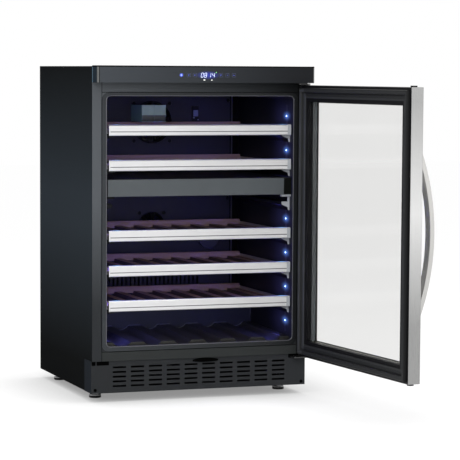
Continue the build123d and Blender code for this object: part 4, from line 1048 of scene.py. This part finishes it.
def stage_material(name):
    """White ground that keeps the object's shadow but shows white where it is seen."""
    material, tree = new_material(name)
    set_shader(tree, Base_Color=(0.85, 0.85, 0.85, 1), Roughness=0.9, Specular_IOR_Level=0.1)
    shade = tree.nodes.new("ShaderNodeAmbientOcclusion")
    shade.samples = 8
    shade.inputs["Distance"].default_value = 0.24
    emission = tree.nodes.new("ShaderNodeEmission")
    tree.links.new(ranged(tree, shade.outputs["AO"], 0.26, 0.88, 0.0, 0.96),
                   emission.inputs["Strength"])
    cast = tree.nodes.new("ShaderNodeBsdfDiffuse")
    cast.inputs["Color"].default_value = (0.22, 0.22, 0.22, 1)
    both = tree.nodes.new("ShaderNodeAddShader")
    tree.links.new(emission.outputs["Emission"], both.inputs[0])
    tree.links.new(cast.outputs["BSDF"], both.inputs[1])
    mix = tree.nodes.new("ShaderNodeMixShader")
    tree.links.new(seen_rays(tree), mix.inputs["Fac"])
    tree.links.new(tree.nodes[SHADER].outputs["BSDF"], mix.inputs[1])
    tree.links.new(both.outputs["Shader"], mix.inputs[2])
    tree.links.new(mix.outputs["Shader"], tree.nodes["Material Output"].inputs["Surface"])
    return material


def add_lamp(name, light, turned):
    """Link a lamp at the place and turn that a matrix gives."""
    lamp = bpy.data.objects.new(name, light)
    lamp.matrix_world = turned
    bpy.context.scene.collection.objects.link(lamp)
    return lamp


def build_stage():
    """Floor, world and lamps."""
    mesh = bpy.data.meshes.new("floor")
    reach = 14.0
    mesh.from_pydata([(-reach, -reach, 0), (reach, -reach, 0), (reach, reach, 0),
                      (-reach, reach, 0)], [], [(0, 1, 2, 3)])
    mesh.materials.append(stage_material("floor_white"))
    floor = bpy.data.objects.new("floor", mesh)
    bpy.context.scene.collection.objects.link(floor)

    world = bpy.data.worlds.new("studio")
    bpy.context.scene.world = world
    world.use_nodes = True
    tree = world.node_tree
    background = tree.nodes["Background"]
    tree.links.new(ranged(tree, seen_rays(tree), 0.5, 1.0, 0.0, 1.0),
                   background.inputs["Strength"])
    background.inputs["Color"].default_value = (1, 1, 1, 1)

    for name, place, target, size, power in (
            ("key", (-1.5, -3.2, 1.7), (0, 0, 0.45), 1.8, 56),
            ("fill", (2.8, -3.0, 1.2), (0.2, 0, 0.45), 2.0, 12),
            ("top", (0.2, -0.2, 3.2), (0, 0, 0.4), 3.0, 50)):
        light = bpy.data.lights.new(name, "AREA")
        light.size = size
        light.energy = power
        aim = (Vector(target) - Vector(place)).to_track_quat("-Z", "Y")
        add_lamp(name, light, Matrix.Translation(place) @ aim.to_matrix().to_4x4())


def build_cabinet_lights():
    """The coloured light that the strips throw across the cabinet."""
    divider_low, divider_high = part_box("zone_divider")
    for index in range(led_count):
        z = led_top - index * led_pitch
        if divider_low.z < z < divider_high.z:
            continue
        for side in (-1, 1):
            name = f"led_{index}_{side}"
            light = bpy.data.lights.new(name, "AREA")
            light.shape = "RECTANGLE"
            light.size = 60 * MM
            light.size_y = 8 * MM
            light.energy = led_power
            light.color = (0.15, 0.15, 1.0)
            inward = Vector((-side, 0.55, 0.0)).normalized()
            upright = Vector((0, 0, 1))
            turn = Matrix((upright, -inward.cross(upright), -inward)).transposed().to_4x4()
            place = (side * (wall_x - 14 * MM), led_line, z)
            lamp = add_lamp(name, light, Matrix.Translation(place) @ turn)
            lamp.visible_glossy = False
            lamp.visible_camera = False


def build_camera():
    """The camera, left of the cabinet's middle and a little above it."""
    place = Vector((-1.87023, -5.4144, 0.86299))
    yaw, pitch, roll = (math.radians(angle) for angle in (19.82, -4.94, 0.32))
    forward = Vector((math.sin(yaw) * math.cos(pitch), math.cos(yaw) * math.cos(pitch),
                      math.sin(pitch)))
    level_right = Vector((math.cos(yaw), -math.sin(yaw), 0))
    level_up = level_right.cross(forward)
    right = level_right * math.cos(roll) + level_up * math.sin(roll)
    up = level_up * math.cos(roll) - level_right * math.sin(roll)
    data = bpy.data.cameras.new("camera")
    data.sensor_width = 36.0
    data.lens = 171.01
    data.shift_y = 0.0652
    camera = bpy.data.objects.new("camera", data)
    turn = Matrix((right, up, -forward)).transposed().to_4x4()
    camera.matrix_world = Matrix.Translation(place) @ turn
    bpy.context.scene.collection.objects.link(camera)
    bpy.context.scene.camera = camera


build_stage()
build_cabinet_lights()
build_camera()
bpy.context.scene.view_settings.view_transform = "Standard"
